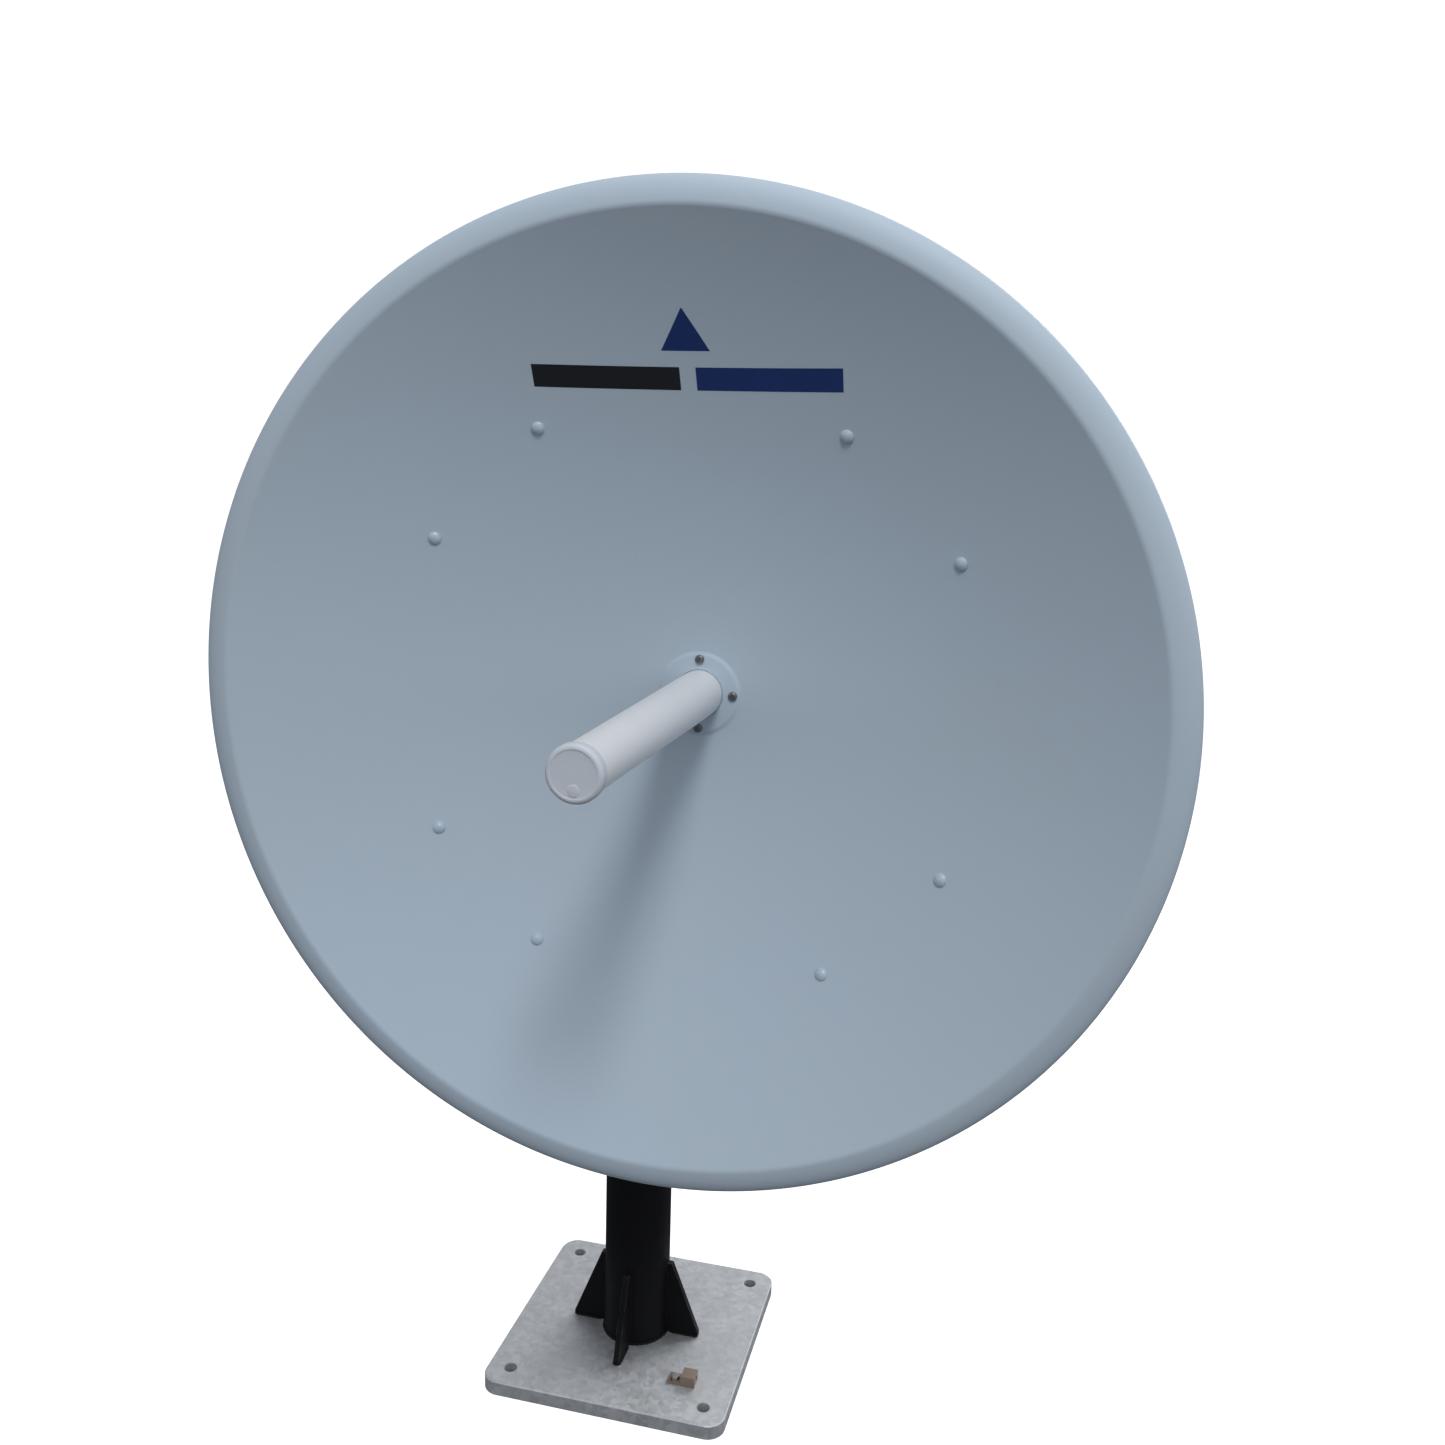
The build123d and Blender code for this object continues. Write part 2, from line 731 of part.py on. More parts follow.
with BuildPart() as pivot_washers:
    with Locations(*[along((side * pivot_seat, pivot_y, pivot_z), (side, 0, 0)) for side in (-1, 1)]):
        add(washer(pivot_thread))
    thrust_washer = pivot_gap - 2 * clearance
    for side in (-1, 1):
        with Locations(along((side * channel_width / 2, pivot_y, pivot_z), (side, 0, 0))):
            Cylinder(pivot_thread, thrust_washer, align=LOW)
            Cylinder(
                pivot_thread / 2 + thread_clearance, thrust_washer, align=LOW, mode=Mode.SUBTRACT
            )
write_piece(pivot_washers, "pivot_washers")

# ---- elevation adjuster -------------------------------------------------------------------

eye_inner = elevation_rod_offset - eye_width / 2
eye_outer = elevation_rod_offset + eye_width / 2
with BuildPart() as elevation_rod_pin:
    with Locations(along((ear_inner, pivot_y, rod_z), (1, 0, 0))):
        Cylinder(pin_radius, eye_outer + 1.8 * 2 * pin_radius - ear_inner, align=LOW)
    with Locations(along((ear_outer, pivot_y, rod_z), (1, 0, 0))):
        Cylinder(shoulder_radius, eye_inner - eye_gap - ear_outer, align=LOW)
    with Locations(along((eye_outer + eye_gap, pivot_y, rod_z), (1, 0, 0))):
        add(washer(2 * pin_radius))
    nut_seat = eye_outer + eye_gap + washer_height(2 * pin_radius)
    with Locations(along((nut_seat, pivot_y, rod_z), (1, 0, 0))):
        add(hex_nut(2 * pin_radius))
write_piece(elevation_rod_pin, "elevation_rod_pin")

with BuildPart() as elevation_rod:
    with Locations(along((eye_inner, pivot_y, rod_z), (1, 0, 0))):
        Cylinder(eye_radius, eye_width, align=LOW)
    with Locations(along((elevation_rod_offset, pivot_y, rod_z), (0, 1, 0))):
        Cylinder(elevation_thread / 2, elevation_rod_length, align=LOW)
    chamfer(elevation_rod.faces().sort_by(Axis.Y)[-1].edges(), rod_bevel * elevation_thread)
    with Locations(along((eye_outer, pivot_y, rod_z), (1, 0, 0))):
        Hole(pin_radius + running_clearance, depth=eye_width)
write_piece(elevation_rod, "elevation_rod")

# The rod's height falls as the dish tips either way, so the slot reaches below the rod.
rod_fall = elevation_arm * (1 - math.cos(math.radians(elevation_travel)))
slot_radius = elevation_thread / 2 + adjuster_clearance
with BuildPart() as elevation_lug:
    with Locations((channel_width / 2, lug_rear, rod_z)):
        Box(
            lug_outer - channel_width / 2,
            lug_wall,
            lug_height,
            align=(Align.MIN, Align.MAX, Align.CENTER),
        )
        Box(
            channel_wall,
            channel_lip - lug_wall,
            lug_height,
            align=(Align.MIN, Align.MAX, Align.CENTER),
        )
    with BuildSketch(along((elevation_rod_offset, lug_rear, rod_z), (0, 1, 0))):
        with Locations((-rod_fall / 2, 0)):
            SlotCenterToCenter(rod_fall + adjuster_clearance, 2 * slot_radius)
    extrude(amount=-lug_wall, mode=Mode.SUBTRACT)
    with Locations(
        *[along((channel_width / 2 + channel_wall, y, z), (1, 0, 0)) for y, z in lug_bolt_places]
    ):
        Hole(lug_thread / 2 + hole_clearance, depth=channel_wall)
write_piece(elevation_lug, "elevation_lug")

with BuildPart() as lug_bolts:
    bolt_seat = channel_width / 2 + channel_wall
    with Locations(*[along((bolt_seat, y, z), (-1, 0, 0)) for y, z in lug_bolt_places]):
        add(hex_bolt(lug_thread, 2 * channel_wall + 1.5 * lug_thread))
    nut_seat = channel_width / 2 - channel_wall
    with Locations(*[along((nut_seat, y, z), (-1, 0, 0)) for y, z in lug_bolt_places]):
        add(hex_nut(lug_thread))
write_piece(lug_bolts, "lug_bolts")


def adjuster_nuts(thread):
    """A washer under a nut, standing clear of the lug by the adjuster clearance."""
    with BuildPart() as stack:
        with Locations((0, 0, adjuster_clearance)):
            add(washer(thread, clearance))
        with Locations((0, 0, adjuster_clearance + washer_height(thread))):
            add(hex_nut(thread, clearance))
    return stack.part


with BuildPart() as elevation_nuts:
    with Locations(
        along((elevation_rod_offset, lug_rear, rod_z), (0, 1, 0)),
        along((elevation_rod_offset, lug_front, rod_z), (0, -1, 0)),
    ):
        add(adjuster_nuts(elevation_thread))
write_piece(elevation_nuts, "elevation_nuts")

# ---- azimuth collar and adjuster ----------------------------------------------------------


def build_collar_half(side, with_lug, label):
    """Half of the clamp ring round the mast, on the -Y or +Y side."""
    with BuildPart() as half:
        with BuildSketch(Plane.XY.offset(collar_middle)):
            Circle(collar_outer)
            Rectangle(2 * jaw_reach, 2 * collar_ear_thickness + collar_split)
            Circle(jaw_bore, mode=Mode.SUBTRACT)
        extrude(amount=collar_height / 2, both=True)
        with Locations((0, side * collar_split / 2, collar_middle)):
            Box(
                3 * jaw_reach,
                3 * collar_outer,
                2 * collar_height,
                align=(Align.CENTER, Align.MAX if side > 0 else Align.MIN, Align.CENTER),
                mode=Mode.SUBTRACT,
            )
        with Locations(
            *[
                along((x, side * (collar_split / 2 + collar_ear_thickness), collar_middle), (0, side, 0))
                for x in (-clamp_bolt_offset, clamp_bolt_offset)
            ]
        ):
            Hole(collar_thread / 2 + hole_clearance, depth=collar_ear_thickness)
        if with_lug:
            with BuildSketch(Plane.XY.offset(collar_middle)):
                with Locations((-azimuth_arm - azimuth_lug_overhang, azimuth_lug_distance)):
                    Rectangle(azimuth_arm, lug_wall, align=(Align.MIN, Align.MIN))
                Circle(jaw_bore + collar_wall / 2, mode=Mode.SUBTRACT)
            extrude(amount=0.4 * collar_height, both=True)
            swing = azimuth_arm * (1 - math.cos(math.radians(azimuth_travel)))
            slot_place = (-azimuth_arm, azimuth_lug_distance, collar_middle)
            with BuildSketch(along(slot_place, (0, -1, 0), (1, 0, 0))):
                with Locations((swing / 2, 0)):
                    SlotCenterToCenter(swing + adjuster_clearance, azimuth_thread + 2 * adjuster_clearance)
            extrude(amount=-lug_wall, mode=Mode.SUBTRACT)
    write_piece(half, label)


build_collar_half(-1, False, "azimuth_collar_front")
build_collar_half(1, True, "azimuth_collar_rear")

ear_face = collar_split / 2 + collar_ear_thickness
with BuildPart() as collar_bolts:
    with Locations(
        *[along((side * clamp_bolt_offset, -ear_face, collar_middle), (0, 1, 0)) for side in (-1, 1)]
    ):
        add(hex_bolt(collar_thread, 2 * ear_face + 1.5 * collar_thread))
    with Locations(
        *[along((side * clamp_bolt_offset, ear_face, collar_middle), (0, 1, 0)) for side in (-1, 1)]
    ):
        add(hex_nut(collar_thread))
write_piece(collar_bolts, "collar_bolts")

with BuildPart() as thrust_ring:
    with BuildSketch(Plane.XY.offset(collar_top)):
        Circle(collar_outer - thrust_ring_inset)
        Circle(jaw_bore, mode=Mode.SUBTRACT)
    extrude(amount=thrust_ring_height)
write_piece(thrust_ring, "thrust_ring")

arm_inner = arm_screw_places[1][0] + arm_screw_thread
arm_reach = azimuth_arm + arm_plate_margin
with BuildPart() as azimuth_arm_plate:
    with BuildSketch(Plane.XY.offset(azimuth_plate_bottom)):
        with Locations((arm_inner, -wing_face)):
            Rectangle(arm_reach + arm_inner, wing_face + arm_plate_margin, align=(Align.MAX, Align.MIN))
    extrude(amount=azimuth_plate)
    fillet(azimuth_arm_plate.edges().filter_by(Axis.Z), arm_plate_corner)
    with Locations((-azimuth_arm, 0, lower_jaw_bottom)):
        Hole(pin_radius + thread_clearance, depth=azimuth_plate)
    with Locations(*[(x, y, lower_jaw_bottom) for x, y in arm_screw_places]):
        Hole(arm_screw_thread / 2 + hole_clearance, depth=azimuth_plate)
write_piece(azimuth_arm_plate, "azimuth_arm_plate")

with BuildPart() as arm_screws:
    with Locations(
        *[along((x, y, azimuth_plate_bottom), (0, 0, 1), (1, 0, 0)) for x, y in arm_screw_places]
    ):
        add(hex_bolt(arm_screw_thread, azimuth_plate + arm_screw_depth))
write_piece(arm_screws, "arm_screws")

eye_top = collar_middle + azimuth_eye_width / 2
eye_bottom = collar_middle - azimuth_eye_width / 2
with BuildPart() as azimuth_pin:
    with Locations((-azimuth_arm, 0, lower_jaw_bottom)):
        Cylinder(shoulder_radius, head_height(2 * pin_radius), align=LOW)
        Cylinder(pin_radius, lower_jaw_bottom - eye_bottom + 3 * pin_radius, align=HIGH)
    with Locations((-azimuth_arm, 0, azimuth_plate_bottom)):
        Cylinder(shoulder_radius - shoulder_step, azimuth_plate_bottom - eye_top - eye_gap, align=HIGH)
    with Locations(along((-azimuth_arm, 0, eye_bottom - eye_gap), (0, 0, -1), (1, 0, 0))):
        add(hex_nut(2 * pin_radius))
write_piece(azimuth_pin, "azimuth_pin")

with BuildPart() as azimuth_rod:
    with Locations((-azimuth_arm, 0, collar_middle)):
        Cylinder(azimuth_eye_radius, azimuth_eye_width)
    with Locations(along((-azimuth_arm, 0, collar_middle), (0, 1, 0))):
        Cylinder(azimuth_thread / 2, azimuth_rod_length, align=LOW)
    chamfer(azimuth_rod.faces().sort_by(Axis.Y)[-1].edges(), rod_bevel * azimuth_thread)
    with Locations((-azimuth_arm, 0, eye_top)):
        Hole(pin_radius + running_clearance, depth=azimuth_eye_width)
write_piece(azimuth_rod, "azimuth_rod")

with BuildPart() as azimuth_nuts:
    with Locations(
        along((-azimuth_arm, azimuth_lug_distance, collar_middle), (0, -1, 0)),
        along((-azimuth_arm, azimuth_lug_distance + lug_wall, collar_middle), (0, 1, 0)),
    ):
        add(adjuster_nuts(azimuth_thread))
write_piece(azimuth_nuts, "azimuth_nuts")

# ---- mast and base ------------------------------------------------------------------------

with BuildPart() as base_plate:
    with BuildSketch():
        RectangleRounded(base_width, base_width, base_corner)
    extrude(amount=base_thickness)
    chamfer(base_plate.faces().sort_by(Axis.Z)[-1].outer_wire().edges(), base_bevel)
    with Locations(Plane.XY.offset(base_thickness)):
        with GridLocations(anchor_spacing, anchor_spacing, 2, 2):
            Hole(anchor_hole, depth=base_thickness)
write_piece(base_plate, "base_plate")

with BuildPart() as gusset:
    with BuildSketch(Plane.XZ.offset(-gusset_wall / 2)):
        with BuildLine():
            Polyline(
                (mast_radius - gusset_wall / 2, base_thickness),
                (mast_radius + gusset_foot, base_thickness),
                (mast_radius + gusset_foot, base_thickness + gusset_head),
                (mast_radius + gusset_head, base_thickness + gusset_height),
                (mast_radius - gusset_wall / 2, base_thickness + gusset_height),
                close=True,
            )
        make_face()
    extrude(amount=gusset_wall)
    Cylinder(mast_radius, 2 * mast_top, mode=Mode.SUBTRACT)

with BuildPart() as mast_gussets:
    with PolarLocations(0, 4):
        add(gusset.part)
write_piece(mast_gussets, "mast_gussets")

with BuildPart() as mast_pipe:
    with BuildSketch(Plane.XY.offset(base_thickness)):
        Circle(mast_radius)
        Circle(mast_radius - mast_wall, mode=Mode.SUBTRACT)
    extrude(amount=mast_top - base_thickness)
write_piece(mast_pipe, "mast_pipe")

with BuildPart() as mast_cap:
    with Locations((0, 0, mast_top - mast_cap_skirt)):
        Cylinder(mast_radius + mast_cap_wall, mast_cap_skirt + mast_cap_wall, align=LOW)
        fillet(mast_cap.faces().sort_by(Axis.Z)[-1].edges(), 0.9 * mast_cap_wall)
        Cylinder(mast_radius, mast_cap_skirt, align=LOW, mode=Mode.SUBTRACT)
write_piece(mast_cap, "mast_cap")

ground_x = anchor_spacing / 2 - ground_inset
ground_seat = base_thickness + ground_tongue
ground_screw_x = ground_x - ground_size / 2
with BuildPart() as ground_lug:
    with Locations((ground_x, -ground_x, base_thickness)):
        Box(2 * ground_size, ground_size, ground_tongue, align=LOW)
    with Locations((ground_x + ground_size / 2, -ground_x, ground_seat)):
        Box(ground_size, ground_size, ground_block, align=LOW)
    with Locations(
        along((ground_x + ground_size, -ground_x, ground_seat + ground_bore_height), (1, 0, 0))
    ):
        Hole(ground_bore, depth=ground_size)
    with Locations((ground_screw_x, -ground_x, ground_seat)):
        Hole(lug_thread / 2 + thread_clearance, depth=ground_tongue)
write_piece(ground_lug, "ground_lug")

with BuildPart() as ground_bolt:
    with Locations(along((ground_screw_x, -ground_x, ground_seat), (0, 0, -1), (1, 0, 0))):
        add(hex_bolt(lug_thread, ground_tongue))
write_piece(ground_bolt, "ground_bolt")

# ---- feed hub, fixed to the reflector -----------------------------------------------------

hub_bore = feed_radius + clearance
hub_rear = reflector_wall + hub_flange
neck_rear = hub_rear + neck_length
hub_shift = reflector_wall + seat_clearance
seal_middle = hub_rear + seal_place
feed_flange_radius = transition_radius + feed_flange_lip
retainer_screw_radius = (neck_radius + feed_flange_radius) / 2
with BuildPart() as feed_hub:
    with BuildSketch(radial_plane):
        with BuildLine():
            parabola(hub_bore, hub_radius, hub_shift)
            Polyline(
                (hub_radius, hub_shift - curvature * hub_radius**2),
                (hub_radius, hub_rear),
                (neck_radius, hub_rear),
                (neck_radius, neck_rear),
                (hub_bore, neck_rear),
                (hub_bore, hub_shift - curvature * hub_bore**2),
            )
        make_face()
        with Locations((hub_bore, seal_middle)):
            Rectangle(seal_groove, seal_groove, align=(Align.MIN, Align.CENTER), mode=Mode.SUBTRACT)
    revolve(axis=dish_axis)
    with Locations(*rear_planes(flange_screw_radius, flange_screw_angles, hub_rear)):
        Hole(flange_screw_thread / 2 + thread_clearance, depth=2 * hub_flange)
    with Locations(*rear_planes(retainer_screw_radius, retainer_screw_angles, neck_rear)):
        Hole(retainer_screw_thread / 2 + thread_clearance, depth=retainer_screw_depth + tapping_room)
write_piece(feed_hub, "feed_hub")

with BuildPart() as feed_seal:
    with BuildSketch(radial_plane):
        with Locations((hub_bore + seal_groove / 2, seal_middle)):
            Circle(seal_groove / 2 - running_clearance)
    revolve(axis=dish_axis)
write_piece(feed_seal, "feed_seal")

plate_front = -collar_plate_thickness - seat_clearance
with BuildPart() as feed_flange:
    with BuildSketch(radial_plane):
        with BuildLine():
            parabola(hub_bore, collar_plate_radius, -seat_clearance)
            Polyline(
                (collar_plate_radius, -seat_clearance - curvature * collar_plate_radius**2),
                (collar_plate_radius, plate_front + collar_plate_bevel),
                (collar_plate_radius - collar_plate_bevel, plate_front),
                (hub_bore, plate_front),
                (hub_bore, -seat_clearance - curvature * hub_bore**2),
            )
        make_face()
    revolve(axis=dish_axis)
    with Locations(*rear_planes(flange_screw_radius, flange_screw_angles, 0)):
        Hole(flange_screw_thread / 2 + hole_clearance, depth=2 * collar_plate_thickness)
write_piece(feed_flange, "feed_flange")

with BuildPart() as feed_flange_screws:
    with Locations(*rear_planes(flange_screw_radius, flange_screw_angles, plate_front)):
        add(pan_screw(flange_screw_thread, hub_rear - plate_front - tapping_room))
write_piece(feed_flange_screws, "feed_flange_screws")

feed_flange_rear = neck_rear + clearance + feed_flange_thickness
retainer_rear = feed_flange_rear + clearance + retainer_lip
retainer_bore = transition_radius + retainer_gap
with BuildPart() as feed_retainer:
    with BuildSketch(radial_plane):
        with BuildLine():
            Polyline(
                (neck_radius, neck_rear),
                (neck_radius, retainer_rear),
                (retainer_bore, retainer_rear),
                (retainer_bore, feed_flange_rear + clearance),
                (feed_flange_radius + clearance, feed_flange_rear + clearance),
                (feed_flange_radius + clearance, neck_rear),
                close=True,
            )
        make_face()
    revolve(axis=dish_axis)
    with Locations(*rear_planes(retainer_screw_radius, retainer_screw_angles, retainer_rear)):
        Hole(retainer_screw_thread / 2 + thread_clearance, depth=retainer_rear - neck_rear)
write_piece(feed_retainer, "feed_retainer")

with BuildPart() as retainer_screws:
    for plane in rear_planes(retainer_screw_radius, retainer_screw_angles, retainer_rear):
        with Locations(along(plane.origin, (0, -1, 0))):
            add(pan_screw(0.8 * retainer_screw_thread, retainer_rear - neck_rear + retainer_screw_depth))
write_piece(retainer_screws, "retainer_screws")

# ---- feed, which turns in the hub ---------------------------------------------------------

feed_rear = neck_rear + clearance
taper_start = -feed_straight
cap_rear = cap_thickness - feed_length


def radome_inner(place):
    """Inside radius of the feed tube at a place along the dish axis."""
    share = max(0.0, (taper_start - place) / (taper_start - cap_rear))
    return feed_radius - feed_wall - share * (feed_radius - feed_tip_radius)


with BuildPart() as feed_radome:
    with BuildSketch(radial_plane):
        with BuildLine():
            Polyline(
                (feed_radius - feed_wall, feed_rear),
                (feed_radius, feed_rear),
                (feed_radius, taper_start),
                (feed_tip_radius, cap_rear),
                (feed_tip_radius - feed_wall, cap_rear),
                (feed_radius - feed_wall, taper_start),
                close=True,
            )
        make_face()
    revolve(axis=dish_axis)
write_piece(feed_radome, "feed_radome")

plug_radius = feed_tip_radius - feed_wall - thread_clearance
plug_rear = cap_rear + cap_plug_depth
cap_floor = cap_wall - feed_length
with BuildPart() as feed_end_cap:
    with BuildSketch(radial_plane):
        with BuildLine():
            Polyline(
                (0, -feed_length),
                (cap_radius - cap_bevel, -feed_length),
                (cap_radius, cap_bevel - feed_length),
                (cap_radius, cap_rear),
                (plug_radius, cap_rear),
                (plug_radius, plug_rear),
                (plug_radius - feed_wall, plug_rear),
                (plug_radius - feed_wall, cap_floor),
                (0, cap_floor),
                close=True,
            )
        make_face()
    revolve(axis=dish_axis)
write_piece(feed_end_cap, "feed_end_cap")

guide_outer = waveguide_bore + waveguide_wall
splash_rear = plug_rear + splash_gap
splash_front = splash_rear - splash_edge
guide_mouth = splash_rear + waveguide_mouth
with BuildPart() as feed_waveguide:
    with BuildSketch(radial_plane):
        with Locations((waveguide_bore, feed_rear)):
            Rectangle(waveguide_wall, feed_rear - guide_mouth, align=(Align.MIN, Align.MAX))
    revolve(axis=dish_axis)
write_piece(feed_waveguide, "feed_waveguide")

with BuildPart() as dielectric_support:
    with BuildSketch(radial_plane):
        with BuildLine():
            Polyline(
                (0, guide_mouth + support_plug),
                (waveguide_bore - thread_clearance, guide_mouth + support_plug),
                (waveguide_bore - thread_clearance, guide_mouth),
                (splash_radius, splash_rear),
                (0, splash_rear + splash_cone),
                close=True,
            )
        make_face()
    revolve(axis=dish_axis)
write_piece(dielectric_support, "dielectric_support")

with BuildPart() as splash_plate:
    with BuildSketch(radial_plane):
        with BuildLine():
            Polyline(
                (0, splash_rear + splash_cone),
                (splash_radius, splash_rear),
                (splash_radius, splash_front),
                (0, splash_front),
                close=True,
            )
        make_face()
    revolve(axis=dish_axis)
write_piece(splash_plate, "splash_plate")

with BuildPart() as waveguide_spacers:
    for place in (-feed_length / 3, -feed_length * 2 / 3):
        outer = radome_inner(place - waveguide_spacer_length) - thread_clearance
        with BuildSketch(radial_plane):
            with Locations((guide_outer, place)):
                Rectangle(outer - guide_outer, waveguide_spacer_length, align=(Align.MIN, Align.MAX))
        revolve(axis=dish_axis)
write_piece(waveguide_spacers, "waveguide_spacers")

transition_rear = feed_flange_rear + transition_length
port_middle = (feed_flange_rear + transition_rear) / 2 + port_shift
port_face = transition_radius + port_boss
probe_floor = waveguide_bore / 2
port_centre = vertex + Vector(0, port_middle, 0)
with BuildPart() as feed_transition:
    with BuildSketch(radial_plane):
        with BuildLine():
            Polyline(
                (0, transition_rear),
                (transition_radius, transition_rear),
                (transition_radius, feed_flange_rear),
                (feed_flange_radius, feed_flange_rear),
                (feed_flange_radius, feed_rear),
                (waveguide_bore, feed_rear),
                (waveguide_bore, transition_rear - transition_wall),
                (0, transition_rear - transition_wall),
                close=True,
            )
        make_face()
    revolve(axis=dish_axis)
    with Locations(along(port_centre - Vector(0, 0, port_face), (0, 0, 1), (1, 0, 0))):
        Box(port_size, port_size, port_face - waveguide_bore - port_root, align=LOW)
        Cylinder(
            dielectric_radius + 2 * thread_clearance, port_face - probe_floor, align=LOW, mode=Mode.SUBTRACT
        )
write_piece(feed_transition, "feed_transition")

down = (0, 0, -1)
flange_place = port_centre - Vector(0, 0, port_face)
screw_places = [
    flange_place + Vector(x * screw_pitch / 2, y * screw_pitch / 2, -connector_flange)
    for x in (-1, 1)
    for y in (-1, 1)
]
with BuildPart() as n_connector:
    with Locations(along(flange_place, down, (1, 0, 0))):
        Box(port_size - 2 * clearance, port_size - 2 * clearance, connector_flange, align=LOW)
        Cylinder(connector_body_radius, connector_flange + connector_body, align=LOW)
        barrel = connector_flange + connector_body + connector_thread_length
        Cylinder(connector_thread_radius, barrel, align=LOW)
        Cylinder(dielectric_radius, port_face - waveguide_bore, align=HIGH)
        Cylinder(probe_radius, port_face - 0.8 * probe_floor, align=HIGH)
    with Locations(along(flange_place - Vector(0, 0, barrel), down, (1, 0, 0))):
        Hole(connector_mouth_radius, depth=connector_mouth_depth)
    with Locations(along(flange_place - Vector(0, 0, barrel - connector_mouth_depth), down, (1, 0, 0))):
        Cylinder(probe_radius, 0.7 * connector_mouth_depth, align=LOW)
    with Locations(*[along(place, down, (1, 0, 0)) for place in screw_places]):
        Hole(small_screw_thread / 2 + thread_clearance, depth=connector_flange)
write_piece(n_connector, "n_connector")

with BuildPart() as connector_screws:
    with Locations(*[along(place, (0, 0, 1), (1, 0, 0)) for place in screw_places]):
        add(pan_screw(small_screw_thread, connector_flange))
write_piece(connector_screws, "connector_screws")

# ---- rating plate, left blank -------------------------------------------------------------

plate_x = dish_offset + plate_offset
plate_z = dish_height + rail_offset
rivet_places = [(plate_x + side * 0.44 * plate_wide, rail_rear + plate_thickness) for side in (-1, 1)]
with BuildPart() as rating_plate:
    with Locations(along((plate_x, rail_rear, plate_z), (0, 1, 0))):
        Box(plate_high, plate_wide, plate_thickness, align=LOW)
    with Locations(*[along((x, y, plate_z), (0, 1, 0)) for x, y in rivet_places]):
        Cylinder(plate_rivet_radius, plate_rivet_radius / 2, align=LOW)
write_piece(rating_plate, "rating_plate")
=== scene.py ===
"""Looks of a four-foot parabolic antenna on a pipe mast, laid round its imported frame."""

import json
import math

import bmesh
import bpy
import numpy as np
from bpy.props import FloatProperty, FloatVectorProperty, PointerProperty
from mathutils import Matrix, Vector


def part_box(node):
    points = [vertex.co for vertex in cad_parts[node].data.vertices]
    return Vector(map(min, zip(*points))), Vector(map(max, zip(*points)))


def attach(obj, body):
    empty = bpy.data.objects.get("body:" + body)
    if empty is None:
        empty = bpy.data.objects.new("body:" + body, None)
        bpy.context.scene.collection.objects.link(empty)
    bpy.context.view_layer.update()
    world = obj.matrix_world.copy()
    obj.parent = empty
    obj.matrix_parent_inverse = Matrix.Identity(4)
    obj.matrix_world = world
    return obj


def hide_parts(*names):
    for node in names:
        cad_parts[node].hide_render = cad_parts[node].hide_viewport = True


bl_info = {
    "name": "Dish antenna",
    "version": (1, 0, 0),
    "blender": (4, 5, 0),
    "location": "3D View > Sidebar > Antenna",
    "description": "Builds the visible pieces and finishes of a parabolic antenna on its mast",
    "category": "Object",
}

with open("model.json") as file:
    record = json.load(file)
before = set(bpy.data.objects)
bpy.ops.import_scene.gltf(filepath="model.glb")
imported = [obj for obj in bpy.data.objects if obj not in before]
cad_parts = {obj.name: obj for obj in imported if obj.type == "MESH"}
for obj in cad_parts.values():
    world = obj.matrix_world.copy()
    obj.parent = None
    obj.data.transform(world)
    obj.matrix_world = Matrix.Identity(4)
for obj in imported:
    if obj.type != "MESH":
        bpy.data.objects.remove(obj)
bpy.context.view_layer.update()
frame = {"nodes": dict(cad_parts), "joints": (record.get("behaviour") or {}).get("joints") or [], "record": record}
JOINTS = {joint["name"]: joint for joint in frame["joints"]}
BACK = np.array([0.0, 1.0, 0.0])
UP = np.array([0.0, 0.0, 1.0])
FULL_TURN = 2 * math.pi

# Space left between pieces that touch, so that their faces don't share a plane.
PLAY = 0.0001

# A washer's thickness and a nut's height, as shares of the thread they sit on.
WASHER_SHARE = 0.2
NUT_SHARE = 0.85

# The feed turns about the dish axis, so its joint stands at the reflector's vertex.
VERTEX = np.array(JOINTS["polarisation"]["pos_m"])


# ---- sizes and colours a user would change --------------------------------------------------


def length(name, description, default):
    """A length in metres, shown in scene units."""
    return FloatProperty(
        name=name, description=description, default=default, unit="LENGTH", precision=4
    )


def number(name, description, default):
    """A number without a unit."""
    return FloatProperty(name=name, description=description, default=default)


def colour(name, description, default):
    """A linear colour without alpha."""
    return FloatVectorProperty(
        name=name,
        description=description,
        default=default,
        subtype="COLOR",
        size=3,
        min=0.0,
        max=1.0,
    )


class DishSizes(bpy.types.PropertyGroup):
    """Sizes of the spun reflector and of what is bolted to it."""

    wall: length("Wall", "Thickness of the spun sheet", 0.003)
    roll_width: length("Roll width", "How far the rolled rim stands outside the bowl", 0.033)
    roll_depth: length("Roll depth", "How far the roll falls back to its widest place", 0.013)
    skirt_depth: length("Skirt depth", "Depth of the rim behind the aperture", 0.028)
    crease: length("Crease", "Length of bowl that the fold into the rim takes up", 0.0035)
    bore: length("Bore", "Radius of the centre hole", 0.033)
    bolt_circle: length("Bolt circle", "Radius of the circle of domed bolts", 0.387)
    bolt_grip: length("Bolt grip", "From the bowl's surface to the nut behind the ring", 0.0124)
    ring_wall: length("Ring wall", "Thickness of the back ring's plate", 0.004)
    ring_width: length("Ring width", "Width of each flange of the back ring", 0.044)
    collar_radius: length("Collar plate", "Radius of the plate round the feed tube", 0.0575)


